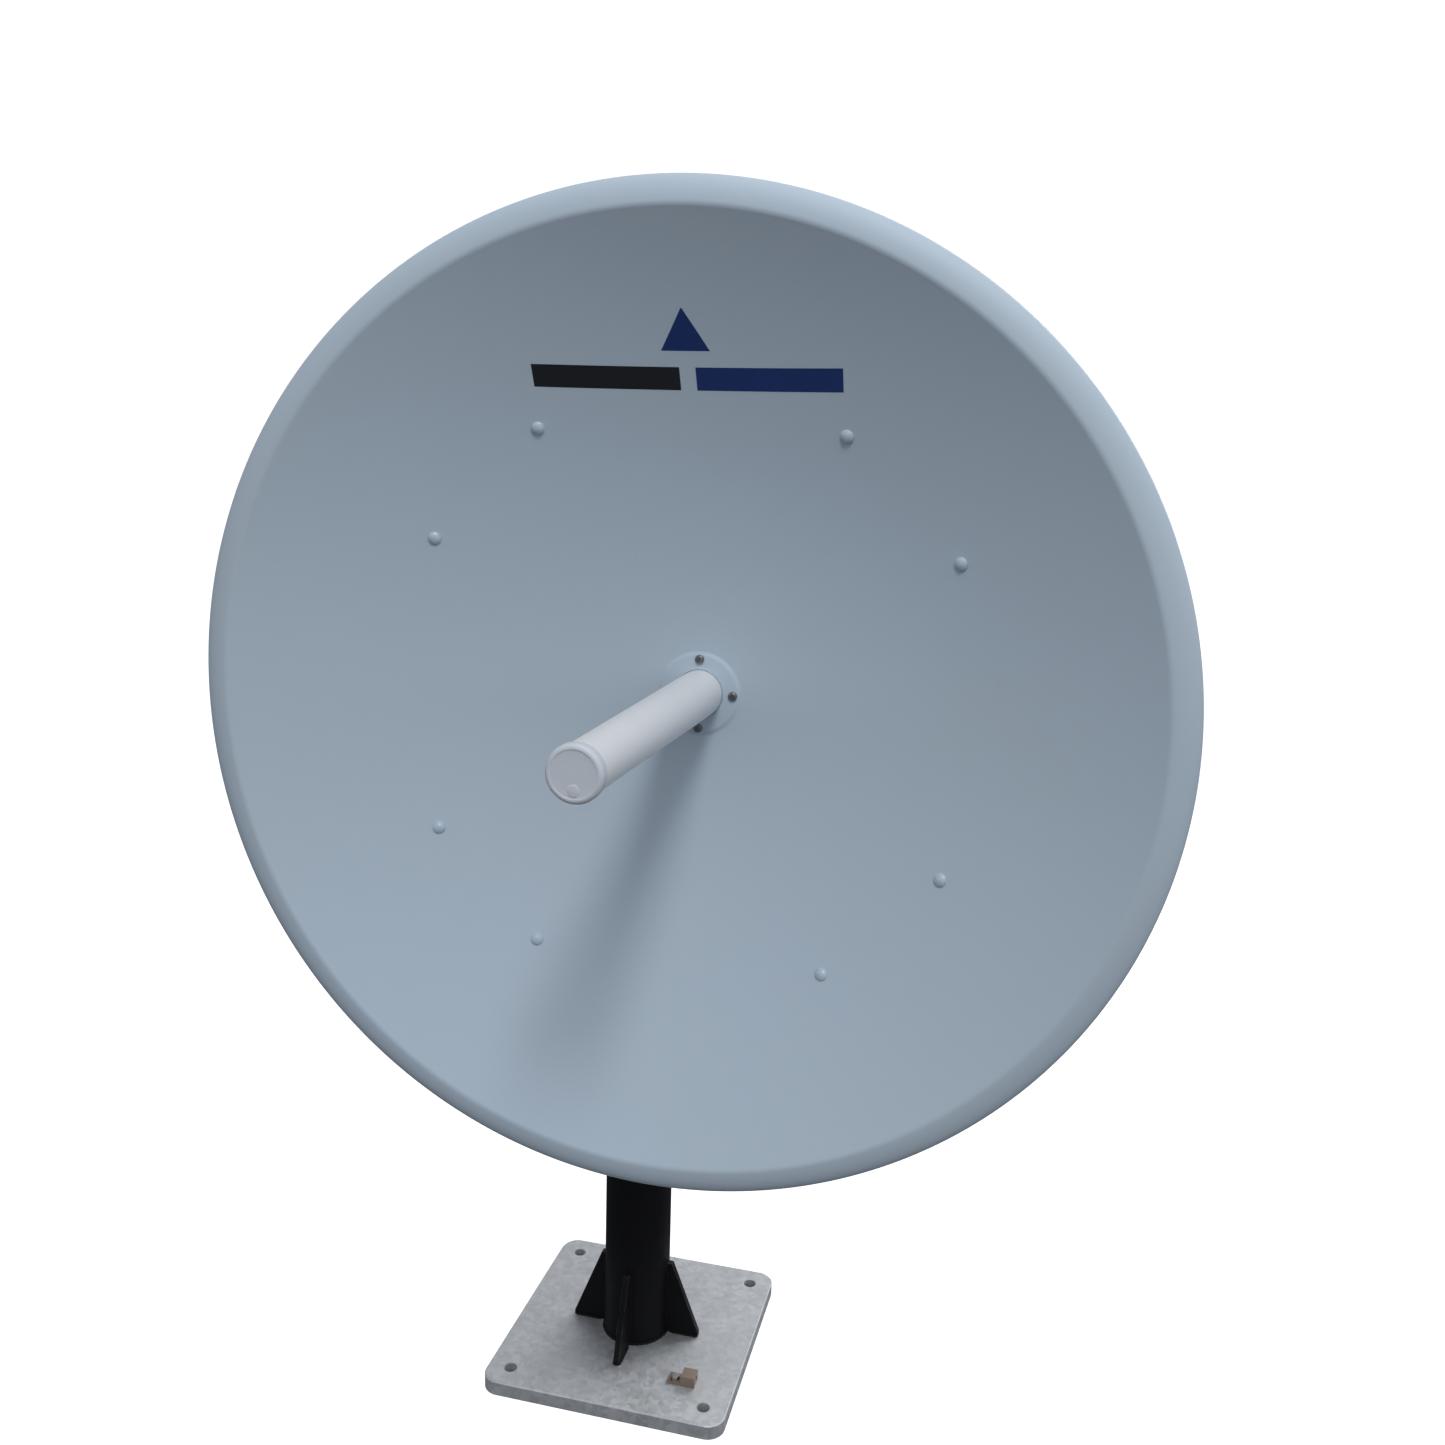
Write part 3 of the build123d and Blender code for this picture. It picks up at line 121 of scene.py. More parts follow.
class FeedSizes(bpy.types.PropertyGroup):
    """Sizes of the feed tube and its cap."""

    base_radius: length("Base radius", "Radius of the tube at the bowl", 0.0315)
    tip_radius: length("Tip radius", "Radius of the tube behind its cap", 0.0285)
    wall: length("Wall", "Thickness of the tube", 0.0025)
    taper_start: length("Taper start", "Where the taper begins, in front of the vertex", 0.020)
    cap_bevel: length("Cap bevel", "Rounding of the cap's front edge", 0.0050)
    cap_thickness: length("Cap thickness", "Length of the cap's rim", 0.013)


class Finishes(bpy.types.PropertyGroup):
    """Colours of the paints and plastics."""

    dish_paint: colour("Dish paint", "Pale blue-grey reflector paint", (0.495, 0.588, 0.68))
    mast_paint: colour("Mast paint", "Black mast paint", (0.005, 0.005, 0.006))
    radome: colour("Feed tube", "White feed tube plastic", (0.83, 0.84, 0.85))
    cap: colour("Feed cap", "Grey-white end cap plastic", (0.63, 0.67, 0.73))
    mark_dark: colour("Mark, dark half", "Left half of the alignment mark", (0.012, 0.014, 0.018))
    mark_blue: colour("Mark, blue half", "Right half of the alignment mark", (0.010, 0.035, 0.17))
    zinc: colour("Galvanising", "Hot-dip zinc on the steelwork", (0.67, 0.69, 0.71))
    plated: colour("Plated steel", "Zinc-plated fasteners", (0.58, 0.58, 0.56))
    rust: colour("Rust", "Stain round edges and welds", (0.17, 0.085, 0.04))
    dust: colour("Dust", "Pale dust on upward faces", (0.42, 0.40, 0.37))


class StudioLight(bpy.types.PropertyGroup):
    """The stage's light and camera."""

    sky: number("Sky", "Strength of the sky straight above", 0.40)
    horizon: number("Horizon", "Strength of the sky at the horizon", 0.74)
    ground: number("Ground", "Strength of the light from below", 0.10)
    key: number("Key", "Power of the overhead lamp in watts", 40.0)
    back: number("Back", "Power of the lamp behind the dish in watts", 70.0)
    lean: number("Lean", "How much brighter the sky is to the right", 0.36)
    bounce: number("Bounce", "Share of light the floor sends back", 0.12)
    glow: number("Glow", "Light the camera sees the floor give out", 0.80)
    lens: number("Lens", "Focal length in millimetres for a 36 mm sensor", 32.39)


def settings(name):
    """One of the scene's property groups."""
    return getattr(bpy.context.scene, name)


# ---- surfaces -------------------------------------------------------------------------------


def round_axis(reach, turn, height):
    """Points at a distance from the z axis, at an angle round it and at a height on it."""
    return np.stack([reach * np.cos(turn), reach * np.sin(turn), height + 0 * turn], axis=-1)


def lathe(radii, heights, columns=64):
    """Surface of revolution: at row r and angle a the point is (R(r) cos a, R(r) sin a, h(r))."""
    turn = np.linspace(0, FULL_TURN, columns, endpoint=False)
    radii = np.asarray(radii, float)[:, None]
    heights = np.asarray(heights, float)[:, None]
    return round_axis(radii, turn, heights)


def threaded_bar(radius, pitch, long, columns=28):
    """Screw thread: the radius less 0.61 pitch times a triangle wave of height/pitch - angle/turn.

    It has six rows a turn. Both ends are coned down at 45 degrees and closed at the axis.
    """
    rows = max(8, int(long / pitch * 6))
    height = np.linspace(0, long, rows)[:, None]
    turn = np.linspace(0, FULL_TURN, columns, endpoint=False)[None, :]
    phase = (height / pitch - turn / FULL_TURN) % 1.0
    reach = radius - 0.61 * pitch * np.abs(2 * phase - 1)
    cone = radius - 1.2 * pitch + np.minimum(height, long - height)
    reach = np.minimum(reach, cone)
    bottom = np.zeros((1, columns, 3))
    return np.concatenate([bottom, round_axis(reach, turn, height), bottom + UP * long])


def hexagon(thread, tall):
    """Nut: a hexagon's radius, limited near both faces by a cone that turns its corners off."""
    flats = 0.8 * thread
    turn = np.linspace(0, FULL_TURN, 48, endpoint=False)
    side = flats / np.cos(turn % (FULL_TURN / 6) - FULL_TURN / 12)
    share = np.array([0, 0, 0.03, 0.09, 0.17, 0.83, 0.91, 0.97, 1, 1])
    height = share * tall
    cone = 0.94 * flats + 1.75 * np.minimum(height, tall - height)
    cone[[0, -1]] = 0.51 * thread
    return round_axis(np.minimum(side, cone[:, None]), turn, height[:, None])


def ring_section(inner, outer, thick, rounding, columns=48):
    """Flat washer: a rectangle with rounded outer corners carried round the axis."""
    corner = np.linspace(0, math.pi / 2, 5)
    flat = outer - rounding
    edge = [flat + rounding * np.sin(corner), flat + rounding * np.cos(corner)]
    lower = rounding - rounding * np.cos(corner)
    upper = thick - rounding + rounding * np.sin(corner)
    radii = np.concatenate([[inner], *edge, [inner]])
    return lathe(radii, np.concatenate([[0], lower, upper, [thick]]), columns)


def stand(local, origins, directions):
    """Copies of a grid, its z axis turned to each direction and its zero moved to each origin."""
    origins = np.atleast_2d(np.asarray(origins, float))
    z_axis = np.atleast_2d(np.asarray(directions, float))
    z_axis = z_axis / np.linalg.norm(z_axis, axis=1, keepdims=True)
    z_axis = np.broadcast_to(z_axis, origins.shape)
    helper = np.where(np.abs(z_axis[:, 2:]) > 0.9, [[1.0, 0.0, 0.0]], UP[None])
    x_axis = np.cross(helper, z_axis)
    x_axis = x_axis / np.linalg.norm(x_axis, axis=1, keepdims=True)
    y_axis = np.cross(z_axis, x_axis)
    turned = np.einsum("kij,rcj->krci", np.stack([x_axis, y_axis, z_axis], axis=-1), local)
    return origins[:, None, None, :] + turned


def weld_swell(angle):
    """Share of a bead's radius, which swells with the cosine of the angle through a weld pass."""
    return 0.88 + 0.12 * np.cos(angle)


def weld_bead(start, end, radius, columns=10):
    """A bead along a line: round rows that swell with each pass and close at both ends."""
    start = np.asarray(start, float)
    run = np.asarray(end, float) - start
    long = np.linalg.norm(run)
    passes = long / (2.4 * radius)
    height = np.linspace(0, long, int(6 * passes) + 8)
    taper = np.sqrt(np.clip(1 - (2 * height / long - 1) ** 12, 0, 1))
    reach = radius * taper * weld_swell(FULL_TURN * passes * height / long)
    return stand(lathe(reach, height, columns), [start], [run / long])


def weld_ring(centre, ring_radius, radius, columns=10):
    """A bead round a pipe: a torus whose section swells with each weld pass."""
    passes = int(FULL_TURN * ring_radius / (2.4 * radius))
    along = np.linspace(0, FULL_TURN, 6 * passes, endpoint=False)[:, None]
    across = np.linspace(0, FULL_TURN, columns, endpoint=False)[None, :]
    reach = radius * weld_swell(passes * along)
    out = ring_radius + reach * np.cos(across)
    return (round_axis(out, along, reach * np.sin(across)) + np.asarray(centre))[None]


def grid_faces(index):
    """Corner indices of the quads between the rows and columns of a grid of point indices."""
    near = index[..., :-1, :]
    far = index[..., 1:, :]
    corners = (near[..., :-1], near[..., 1:], far[..., 1:], far[..., :-1])
    return np.stack(corners, axis=-1).reshape(-1, 4)


def make_piece(name, shells, finish, body, stands_for=(), sharp=35.0):
    """A mesh from grids of points, each (copies, rows, columns, 3), closed round their columns.

    A shell is a grid and whether its last row joins its first. Rows at the axis close as poles.
    """
    points = []
    faces = []
    start = 0
    for grid, close_rows in shells:
        grid = grid.reshape((-1,) + grid.shape[-3:])
        index = start + np.arange(grid[..., 0].size).reshape(grid.shape[:3])
        start += index.size
        index = np.concatenate([index, index[:, :, :1]], axis=2)
        if close_rows:
            index = np.concatenate([index, index[:, :1]], axis=1)
        faces.append(grid_faces(index))
        points.append(grid.reshape(-1, 3))
    mesh = bpy.data.meshes.new(name)
    mesh.from_pydata(np.concatenate(points), [], np.concatenate(faces).tolist())
    close_seams(mesh, sharp)
    return place_piece(name, mesh, finish, body, stands_for)


def close_seams(mesh, sharp):
    """Merge coincident points, turn faces outwards and shade smooth up to the sharp angle."""
    work = bmesh.new()
    work.from_mesh(mesh)
    bmesh.ops.remove_doubles(work, verts=work.verts, dist=2e-6)
    bmesh.ops.recalc_face_normals(work, faces=work.faces)
    work.to_mesh(mesh)
    work.free()
    mesh.polygons.foreach_set("use_smooth", np.ones(len(mesh.polygons), bool))
    mesh.set_sharp_from_angle(angle=math.radians(sharp))


def add_object(name, data):
    """An object for a mesh, lamp or camera, linked to the scene."""
    added = bpy.data.objects.new(name, data)
    bpy.context.scene.collection.objects.link(added)
    return added


def place_piece(name, mesh, finish, body, stands_for=()):
    """Link a finished mesh, give it its finish, and ride it on its body."""
    piece = add_object(name, mesh)
    mesh.materials.append(bpy.data.materials[finish])
    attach(piece, body)
    if stands_for:
        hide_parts(*stands_for)
    return piece


def box_of(node):
    """Lowest and highest corner of a frame node as arrays."""
    low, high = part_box(node)
    return np.array(low), np.array(high)


# ---- dish geometry shared by several pieces -------------------------------------------------


def dish_measures():
    """Aperture radius, bowl depth and curvature, read from the frame's reflector."""
    sizes = settings("dish_sizes")
    low, high = box_of("reflector")
    radius = (high[0] - low[0]) / 2 - sizes.roll_width
    depth = VERTEX[1] - low[1]
    return radius, depth, depth / radius**2


def turned(radii, heights, columns):
    """Surface of revolution about the dish's axis, its heights counted back from the vertex."""
    return stand(lathe(radii, heights, columns), [VERTEX], [BACK])


def depths(node):
    """Front and rear of a frame node, counted back from the vertex."""
    low, high = box_of(node)
    return low[1] - VERTEX[1], high[1] - VERTEX[1]


def bolt_seats(height):
    """Places and directions of the domed bolts, height behind the bowl's face along its normal.

    Each quarter of the circle has two bolts, 30 and 60 degrees round.
    """
    sizes = settings("dish_sizes")
    curve = dish_measures()[2]
    turn = np.radians(np.add.outer([0, 90, 180, 270], [30, 60]).ravel())
    outward = np.stack([np.sin(turn), 0 * turn, np.cos(turn)], axis=-1)
    slope = math.atan(2 * curve * sizes.bolt_circle)
    normal = outward * math.sin(slope) + BACK * math.cos(slope)
    seat = VERTEX + outward * sizes.bolt_circle - BACK * curve * sizes.bolt_circle**2
    return seat + normal * height, normal


# ---- shader groups --------------------------------------------------------------------------


def add_node(tree, kind, inputs=None, **options):
    """A shader node with its options set and its inputs given as values or linked sockets."""
    node = tree.nodes.new(kind)
    for key, value in options.items():
        setattr(node, key, value)
    for key, value in (inputs or {}).items():
        if isinstance(value, bpy.types.NodeSocket):
            tree.links.new(value, node.inputs[key])
        else:
            node.inputs[key].default_value = value
    return node


def connect(tree, node, sources):
    """Link output sockets to a node's inputs of the given names."""
    for key, source in sources.items():
        tree.links.new(source, node.inputs[key])


def calculate(tree, operation, first, second=0.0, third=0.0, clamp=False):
    """Output of a Math node."""
    return add_node(
        tree,
        "ShaderNodeMath",
        {0: first, 1: second, 2: third},
        operation=operation,
        use_clamp=clamp,
    ).outputs[0]


def mix_colours(tree, factor, first, second, blend="MIX"):
    """Output of a colour Mix node. Its colour inputs are the seventh and eighth sockets."""
    return add_node(
        tree,
        "ShaderNodeMix",
        {0: factor, 6: first, 7: second},
        data_type="RGBA",
        blend_type=blend,
    ).outputs[2]


def grey(tree, value):
    """A grey colour made from a value."""
    return add_node(tree, "ShaderNodeCombineColor", {0: value, 1: value, 2: value}).outputs[0]


def place_on_object(tree):
    """Object coordinates, which stay with the piece."""
    return add_node(tree, "ShaderNodeTexCoord").outputs["Object"]


def noise(tree, scale, detail=3.0, roughness=0.55):
    """Noise between 0 and 1 over the object."""
    place = place_on_object(tree)
    return add_node(
        tree,
        "ShaderNodeTexNoise",
        {"Vector": place, "Scale": scale, "Detail": detail, "Roughness": roughness},
    ).outputs[0]


def span(tree, value, low, high, to_low=0.0, to_high=1.0):
    """Map a value's range onto another and hold it there."""
    return add_node(
        tree,
        "ShaderNodeMapRange",
        {0: value, 1: low, 2: high, 3: to_low, 4: to_high},
        clamp=True,
    ).outputs[0]


def start_group(name, inputs, outputs, kind="NodeSocketFloat"):
    """An empty shader group: its tree, the sockets its float inputs give, and its output node."""
    tree = bpy.data.node_groups.new(name, "ShaderNodeTree")
    for label, default in inputs.items():
        socket = tree.interface.new_socket(
            name=label, in_out="INPUT", socket_type="NodeSocketFloat"
        )
        socket.default_value = default
    for label in outputs:
        tree.interface.new_socket(name=label, in_out="OUTPUT", socket_type=kind)
    given = tree.nodes.new("NodeGroupInput").outputs
    return tree, given, tree.nodes.new("NodeGroupOutput")


def build_mottle():
    """Slow cloudy variation of a finish: a shade factor round 1 and a roughness offset."""
    inputs = {"Scale": 4.0, "Contrast": 0.08, "Rough Change": 0.06}
    tree, given, result = start_group("Mottle", inputs, ["Shade", "Rough"])
    broad = noise(tree, given["Scale"])
    fine_scale = calculate(tree, "MULTIPLY", given["Scale"], 9.0)
    fine = noise(tree, fine_scale, 5.0, 0.6)
    both = calculate(tree, "MULTIPLY_ADD", fine, 0.4, calculate(tree, "MULTIPLY", broad, 0.6))
    centred = calculate(tree, "SUBTRACT", both, 0.5)
    shade = calculate(tree, "MULTIPLY_ADD", centred, given["Contrast"], 1.0)
    rough = calculate(tree, "MULTIPLY", centred, given["Rough Change"])
    connect(tree, result, {"Shade": shade, "Rough": rough})


def give_mask(tree, given, result, mask):
    """End a group whose mask is scaled by its Amount."""
    scaled = calculate(tree, "MULTIPLY", mask, given["Amount"], clamp=True)
    connect(tree, result, {"Mask": scaled})


def build_dust():
    """Dust that settles on faces looking up, broken by noise."""
    inputs = {"Amount": 0.4, "Scale": 30.0}
    tree, given, result = start_group("Settled Dust", inputs, ["Mask"])
    normal = add_node(tree, "ShaderNodeNewGeometry").outputs["Normal"]
    facing = add_node(tree, "ShaderNodeSeparateXYZ", {0: normal}).outputs[2]
    upward = span(tree, facing, 0.25, 1.0)
    broken = span(tree, noise(tree, given["Scale"], 6.0, 0.65), 0.35, 0.7)
    give_mask(tree, given, result, calculate(tree, "MULTIPLY", upward, broken))


def build_edge_wear():
    """Worn edges: where a bevelled normal leaves the true one, broken by noise."""
    inputs = {"Radius": 0.0012, "Amount": 0.5, "Scale": 60.0}
    tree, given, result = start_group("Edge Wear", inputs, ["Mask"])
    rounded = add_node(tree, "ShaderNodeBevel", {"Radius": given["Radius"]}, samples=4)
    normal = add_node(tree, "ShaderNodeNewGeometry").outputs["Normal"]
    likeness = add_node(
        tree, "ShaderNodeVectorMath", {0: rounded.outputs[0], 1: normal}, operation="DOT_PRODUCT"
    ).outputs["Value"]
    edge = span(tree, calculate(tree, "SUBTRACT", 1.0, likeness), 0.02, 0.22)
    broken = span(tree, noise(tree, given["Scale"], 5.0, 0.7), 0.38, 0.62)
    give_mask(tree, given, result, calculate(tree, "MULTIPLY", edge, broken))


def build_fine_bump():
    """Surface grain: two sizes of noise raised as a bump, given out as a normal."""
    inputs = {"Scale": 400.0, "Height": 0.0001, "Strength": 0.3}
    tree, given, result = start_group("Fine Grain", inputs, ["Normal"], "NodeSocketVector")
    coarse_scale = calculate(tree, "MULTIPLY", given["Scale"], 0.22)
    fine = noise(tree, given["Scale"], 4.0, 0.6)
    coarse = noise(tree, coarse_scale, 2.0, 0.5)
    both = calculate(tree, "ADD", fine, coarse)
    bump = add_node(
        tree,
        "ShaderNodeBump",
        {"Strength": given["Strength"], "Distance": given["Height"], "Height": both},
    )
    connect(tree, result, {"Normal": bump.outputs[0]})


def build_spangle():
    """Zinc crystals: each Voronoi cell, bent by noise, has its own shade and roughness."""
    inputs = {"Scale": 90.0, "Contrast": 0.25}
    tree, given, result = start_group("Zinc Spangle", inputs, ["Shade", "Rough"])
    place = place_on_object(tree)
    warp = add_node(
        tree, "ShaderNodeTexNoise", {"Vector": place, "Scale": 60.0, "Detail": 2.0}
    ).outputs[1]
    bend = 0.006
    where = add_node(
        tree,
        "ShaderNodeVectorMath",
        {0: warp, 1: (bend, bend, bend), 2: place},
        operation="MULTIPLY_ADD",
    )
    cells = add_node(
        tree, "ShaderNodeTexVoronoi", {"Vector": where.outputs[0], "Scale": given["Scale"]}
    )
    value = add_node(tree, "ShaderNodeSeparateColor", {0: cells.outputs["Color"]}).outputs[0]
    centred = calculate(tree, "SUBTRACT", value, 0.5)
    shade = calculate(tree, "MULTIPLY_ADD", centred, given["Contrast"], 1.0)
    rough = calculate(tree, "MULTIPLY", centred, 0.14)
    connect(tree, result, {"Shade": shade, "Rough": rough})


def use_group(tree, name, **values):
    """Place a shader group in a material with its own values."""
    node = tree.nodes.new("ShaderNodeGroup")
    node.node_tree = bpy.data.node_groups[name]
    for key, value in values.items():
        node.inputs[key.replace("_", " ")].default_value = value
    return node


# ---- finishes -------------------------------------------------------------------------------


def start_material(name, metallic=0.0, specular=0.5, coat=0.0):
    """The frame's material of this name, or a new one, with only its shader and output."""
    material = bpy.data.materials.get(name) or bpy.data.materials.new(name)
    material.use_nodes = True
    tree = material.node_tree
    tree.nodes.clear()
    values = {
        "Metallic": metallic,
        "Specular IOR Level": specular,
        "Coat Weight": coat,
        "Coat Roughness": 0.2,
    }
    shader = add_node(tree, "ShaderNodeBsdfPrincipled", values)
    add_node(tree, "ShaderNodeOutputMaterial", {0: shader.outputs[0]})
    return material, tree, shader


def opaque(rgb):
    """A colour with full alpha."""
    return (rgb[0], rgb[1], rgb[2], 1.0)


def shade_by(tree, rgb, shade):
    """A colour multiplied by a shade factor."""
    return mix_colours(tree, 1.0, opaque(rgb), grey(tree, shade), "MULTIPLY")


def build_paint(name, rgb, roughness, contrast, dust, wear, grain, specular=0.5):
    """Sprayed paint: mottle, a faint drift of tint, orange-peel grain, dust and worn edges."""
    finishes = settings("finishes")
    _, tree, shader = start_material(name, specular=specular)
    cloud = use_group(tree, "Mottle", Scale=3.0, Contrast=contrast, Rough_Change=0.12)
    shaded = shade_by(tree, rgb, cloud.outputs["Shade"])
    drift = span(tree, noise(tree, 2.3, 2.0, 0.5), 0.3, 0.7)
    warm = (1.0, 1.0, 0.985, 1.0)
    cool = (0.985, 0.995, 1.0, 1.0)
    tint = mix_colours(tree, drift, warm, cool)
    base = mix_colours(tree, 1.0, shaded, tint, "MULTIPLY")
    settled = use_group(tree, "Settled Dust", Amount=dust, Scale=22.0)
    dusty = mix_colours(tree, settled.outputs[0], base, opaque(finishes.dust))
    edge = use_group(tree, "Edge Wear", Radius=0.0012, Amount=wear, Scale=45.0)
    worn = mix_colours(tree, edge.outputs[0], dusty, opaque(finishes.zinc))
    clean = calculate(tree, "ADD", cloud.outputs["Rough"], roughness)
    rough = calculate(tree, "MULTIPLY_ADD", settled.outputs[0], 0.3, clean, clamp=True)
    peel = use_group(tree, "Fine Grain", Scale=grain, Height=0.00025, Strength=0.18)
    connect(tree, shader, {"Base Color": worn, "Roughness": rough, "Normal": peel.outputs[0]})


def build_zinc(name, rgb):
    """Hot-dip galvanising: crystals, white bloom, dust and a little rust at edges."""
    finishes = settings("finishes")
    _, tree, shader = start_material(name)
    crystals = use_group(tree, "Zinc Spangle", Scale=115.0, Contrast=0.22)
    base = shade_by(tree, rgb, crystals.outputs["Shade"])
    most_bloom = 0.55
    bloom = span(tree, noise(tree, 9.0, 6.0, 0.6), 0.35, 0.80, 0.0, most_bloom)
    bloomed = mix_colours(tree, bloom, base, (0.56, 0.58, 0.59, 1.0))
    edge = use_group(tree, "Edge Wear", Radius=0.0015, Amount=0.28, Scale=38.0)
    worn = mix_colours(tree, edge.outputs[0], bloomed, opaque(finishes.rust))
    settled = use_group(tree, "Settled Dust", Amount=0.3, Scale=30.0)
    dusty = mix_colours(tree, settled.outputs[0], worn, opaque(finishes.dust))
    metal = span(tree, bloom, 0.0, most_bloom, 0.62, 0.46)
    clean = calculate(tree, "ADD", crystals.outputs["Rough"], 0.50)
    rough = calculate(tree, "MULTIPLY_ADD", bloom, 0.2, clean)
    grain = use_group(tree, "Fine Grain", Scale=240.0, Height=0.0003, Strength=0.2)
    connect(tree, shader, {"Base Color": dusty, "Metallic": metal})
    connect(tree, shader, {"Roughness": rough, "Normal": grain.outputs[0]})


def build_metal(name, rgb, roughness, contrast, grain, height, stain=0.0):
    """Bare or plated metal: mottled sheen, fine grain and rust stains where noise is high."""
    finishes = settings("finishes")
    _, tree, shader = start_material(name, metallic=1.0)
    cloud = use_group(tree, "Mottle", Scale=26.0, Contrast=contrast, Rough_Change=0.35)
    base = shade_by(tree, rgb, cloud.outputs["Shade"])
    spots = span(tree, noise(tree, 120.0, 6.0, 0.7), 0.58, 0.74, 0.0, stain)
    stained = mix_colours(tree, spots, base, opaque(finishes.rust))
    metal = span(tree, spots, 0.0, 1.0, 1.0, 0.2)
    clean = calculate(tree, "ADD", cloud.outputs["Rough"], roughness)
    rough = calculate(tree, "MULTIPLY_ADD", spots, 0.4, clean)
    surface = use_group(tree, "Fine Grain", Scale=grain, Height=height, Strength=0.25)
    connect(tree, shader, {"Base Color": stained, "Metallic": metal})
    connect(tree, shader, {"Roughness": rough, "Normal": surface.outputs[0]})


def build_plastic(name, rgb, roughness, contrast, dust, grain, coat=0.0):
    """Moulded plastic: faint clouding, dust on top faces and a fine moulded grain."""
    finishes = settings("finishes")
    _, tree, shader = start_material(name, specular=0.45, coat=coat)
    cloud = use_group(tree, "Mottle", Scale=11.0, Contrast=contrast, Rough_Change=0.15)
    base = shade_by(tree, rgb, cloud.outputs["Shade"])
    settled = use_group(tree, "Settled Dust", Amount=dust, Scale=35.0)
    dusty = mix_colours(tree, settled.outputs[0], base, opaque(finishes.dust))
    rough = calculate(tree, "ADD", cloud.outputs["Rough"], roughness)
    surface = use_group(tree, "Fine Grain", Scale=grain, Height=0.0001, Strength=0.22)
    connect(tree, shader, {"Base Color": dusty, "Roughness": rough, "Normal": surface.outputs[0]})


class ANTENNA_OT_finishes(bpy.types.Operator):
    """Build every finish and lay it on the frame's nodes"""

    bl_idname = "antenna.finishes"
    bl_label = "Finishes"

    def execute(self, context):
        finishes = settings("finishes")
        build_mottle()
        build_dust()
        build_edge_wear()
        build_fine_bump()
        build_spangle()
        # Name, colour, roughness, contrast, dust, wear, grain and, where it isn't usual, specular.
        for row in (
            ("reflector_paint", finishes.dish_paint, 0.52, 0.05, 0.0, 0.0, 700.0, 0.28),
            ("dome_bolt_paint", finishes.dish_paint, 0.30, 0.06, 0.05, 0.15, 900.0),
            ("mast_paint", finishes.mast_paint, 0.55, 0.4, 0.06, 0.3, 500.0, 0.15),
            ("mark_dark", finishes.mark_dark, 0.35, 0.2, 0.0, 0.0, 900.0),
            ("mark_blue", finishes.mark_blue, 0.35, 0.15, 0.0, 0.0, 900.0),
        ):
            build_paint(*row)
        build_zinc("galvanised", finishes.zinc)
        # Name, colour, roughness, contrast, grain, height of the grain and, where it rusts, stain.
        for row in (
            ("fastener_steel", finishes.plated, 0.34, 0.25, 500.0, 0.00008, 0.35),
            ("cast_aluminium", (0.50, 0.51, 0.52), 0.46, 0.12, 330.0, 0.00045),
            ("machined_aluminium", (0.68, 0.69, 0.70), 0.28, 0.08, 900.0, 0.00004),
            ("plate_aluminium", (0.66, 0.67, 0.68), 0.36, 0.10, 700.0, 0.00005),
            ("bronze", (0.50, 0.34, 0.15), 0.38, 0.20, 500.0, 0.00006),
            ("copper", (0.40, 0.31, 0.25), 0.46, 0.25, 400.0, 0.00008),
            ("dark_screws", (0.23, 0.245, 0.26), 0.42, 0.25, 500.0, 0.00008),
            ("connector_plate", (0.66, 0.63, 0.56), 0.22, 0.08, 900.0, 0.00003),
        ):
            build_metal(*row)
        # Name, colour, roughness, contrast, dust, grain and, on the feed tube, coat.
        for row in (
            ("radome_plastic", finishes.radome, 0.42, 0.05, 0.05, 800.0, 0.05),
            ("cap_plastic", finishes.cap, 0.50, 0.06, 0.05, 700.0),
            ("black_plastic", (0.018, 0.018, 0.020), 0.50, 0.3, 0.10, 600.0),
            ("nylon", (0.70, 0.68, 0.62), 0.38, 0.06, 0.1, 700.0),
            ("seal_rubber", (0.016, 0.016, 0.016), 0.65, 0.3, 0.1, 900.0),
        ):
            build_plastic(*row)
        for part in frame["record"]["subparts"]:
            mesh = frame["nodes"][part["node"]].data
            mesh.materials.clear()
            mesh.materials.append(bpy.data.materials[part["material_slot"]])
        screws = frame["nodes"]["feed_flange_screws"].data
        screws.materials[0] = bpy.data.materials["dark_screws"]
        return {"FINISHED"}


# ---- reflector ------------------------------------------------------------------------------


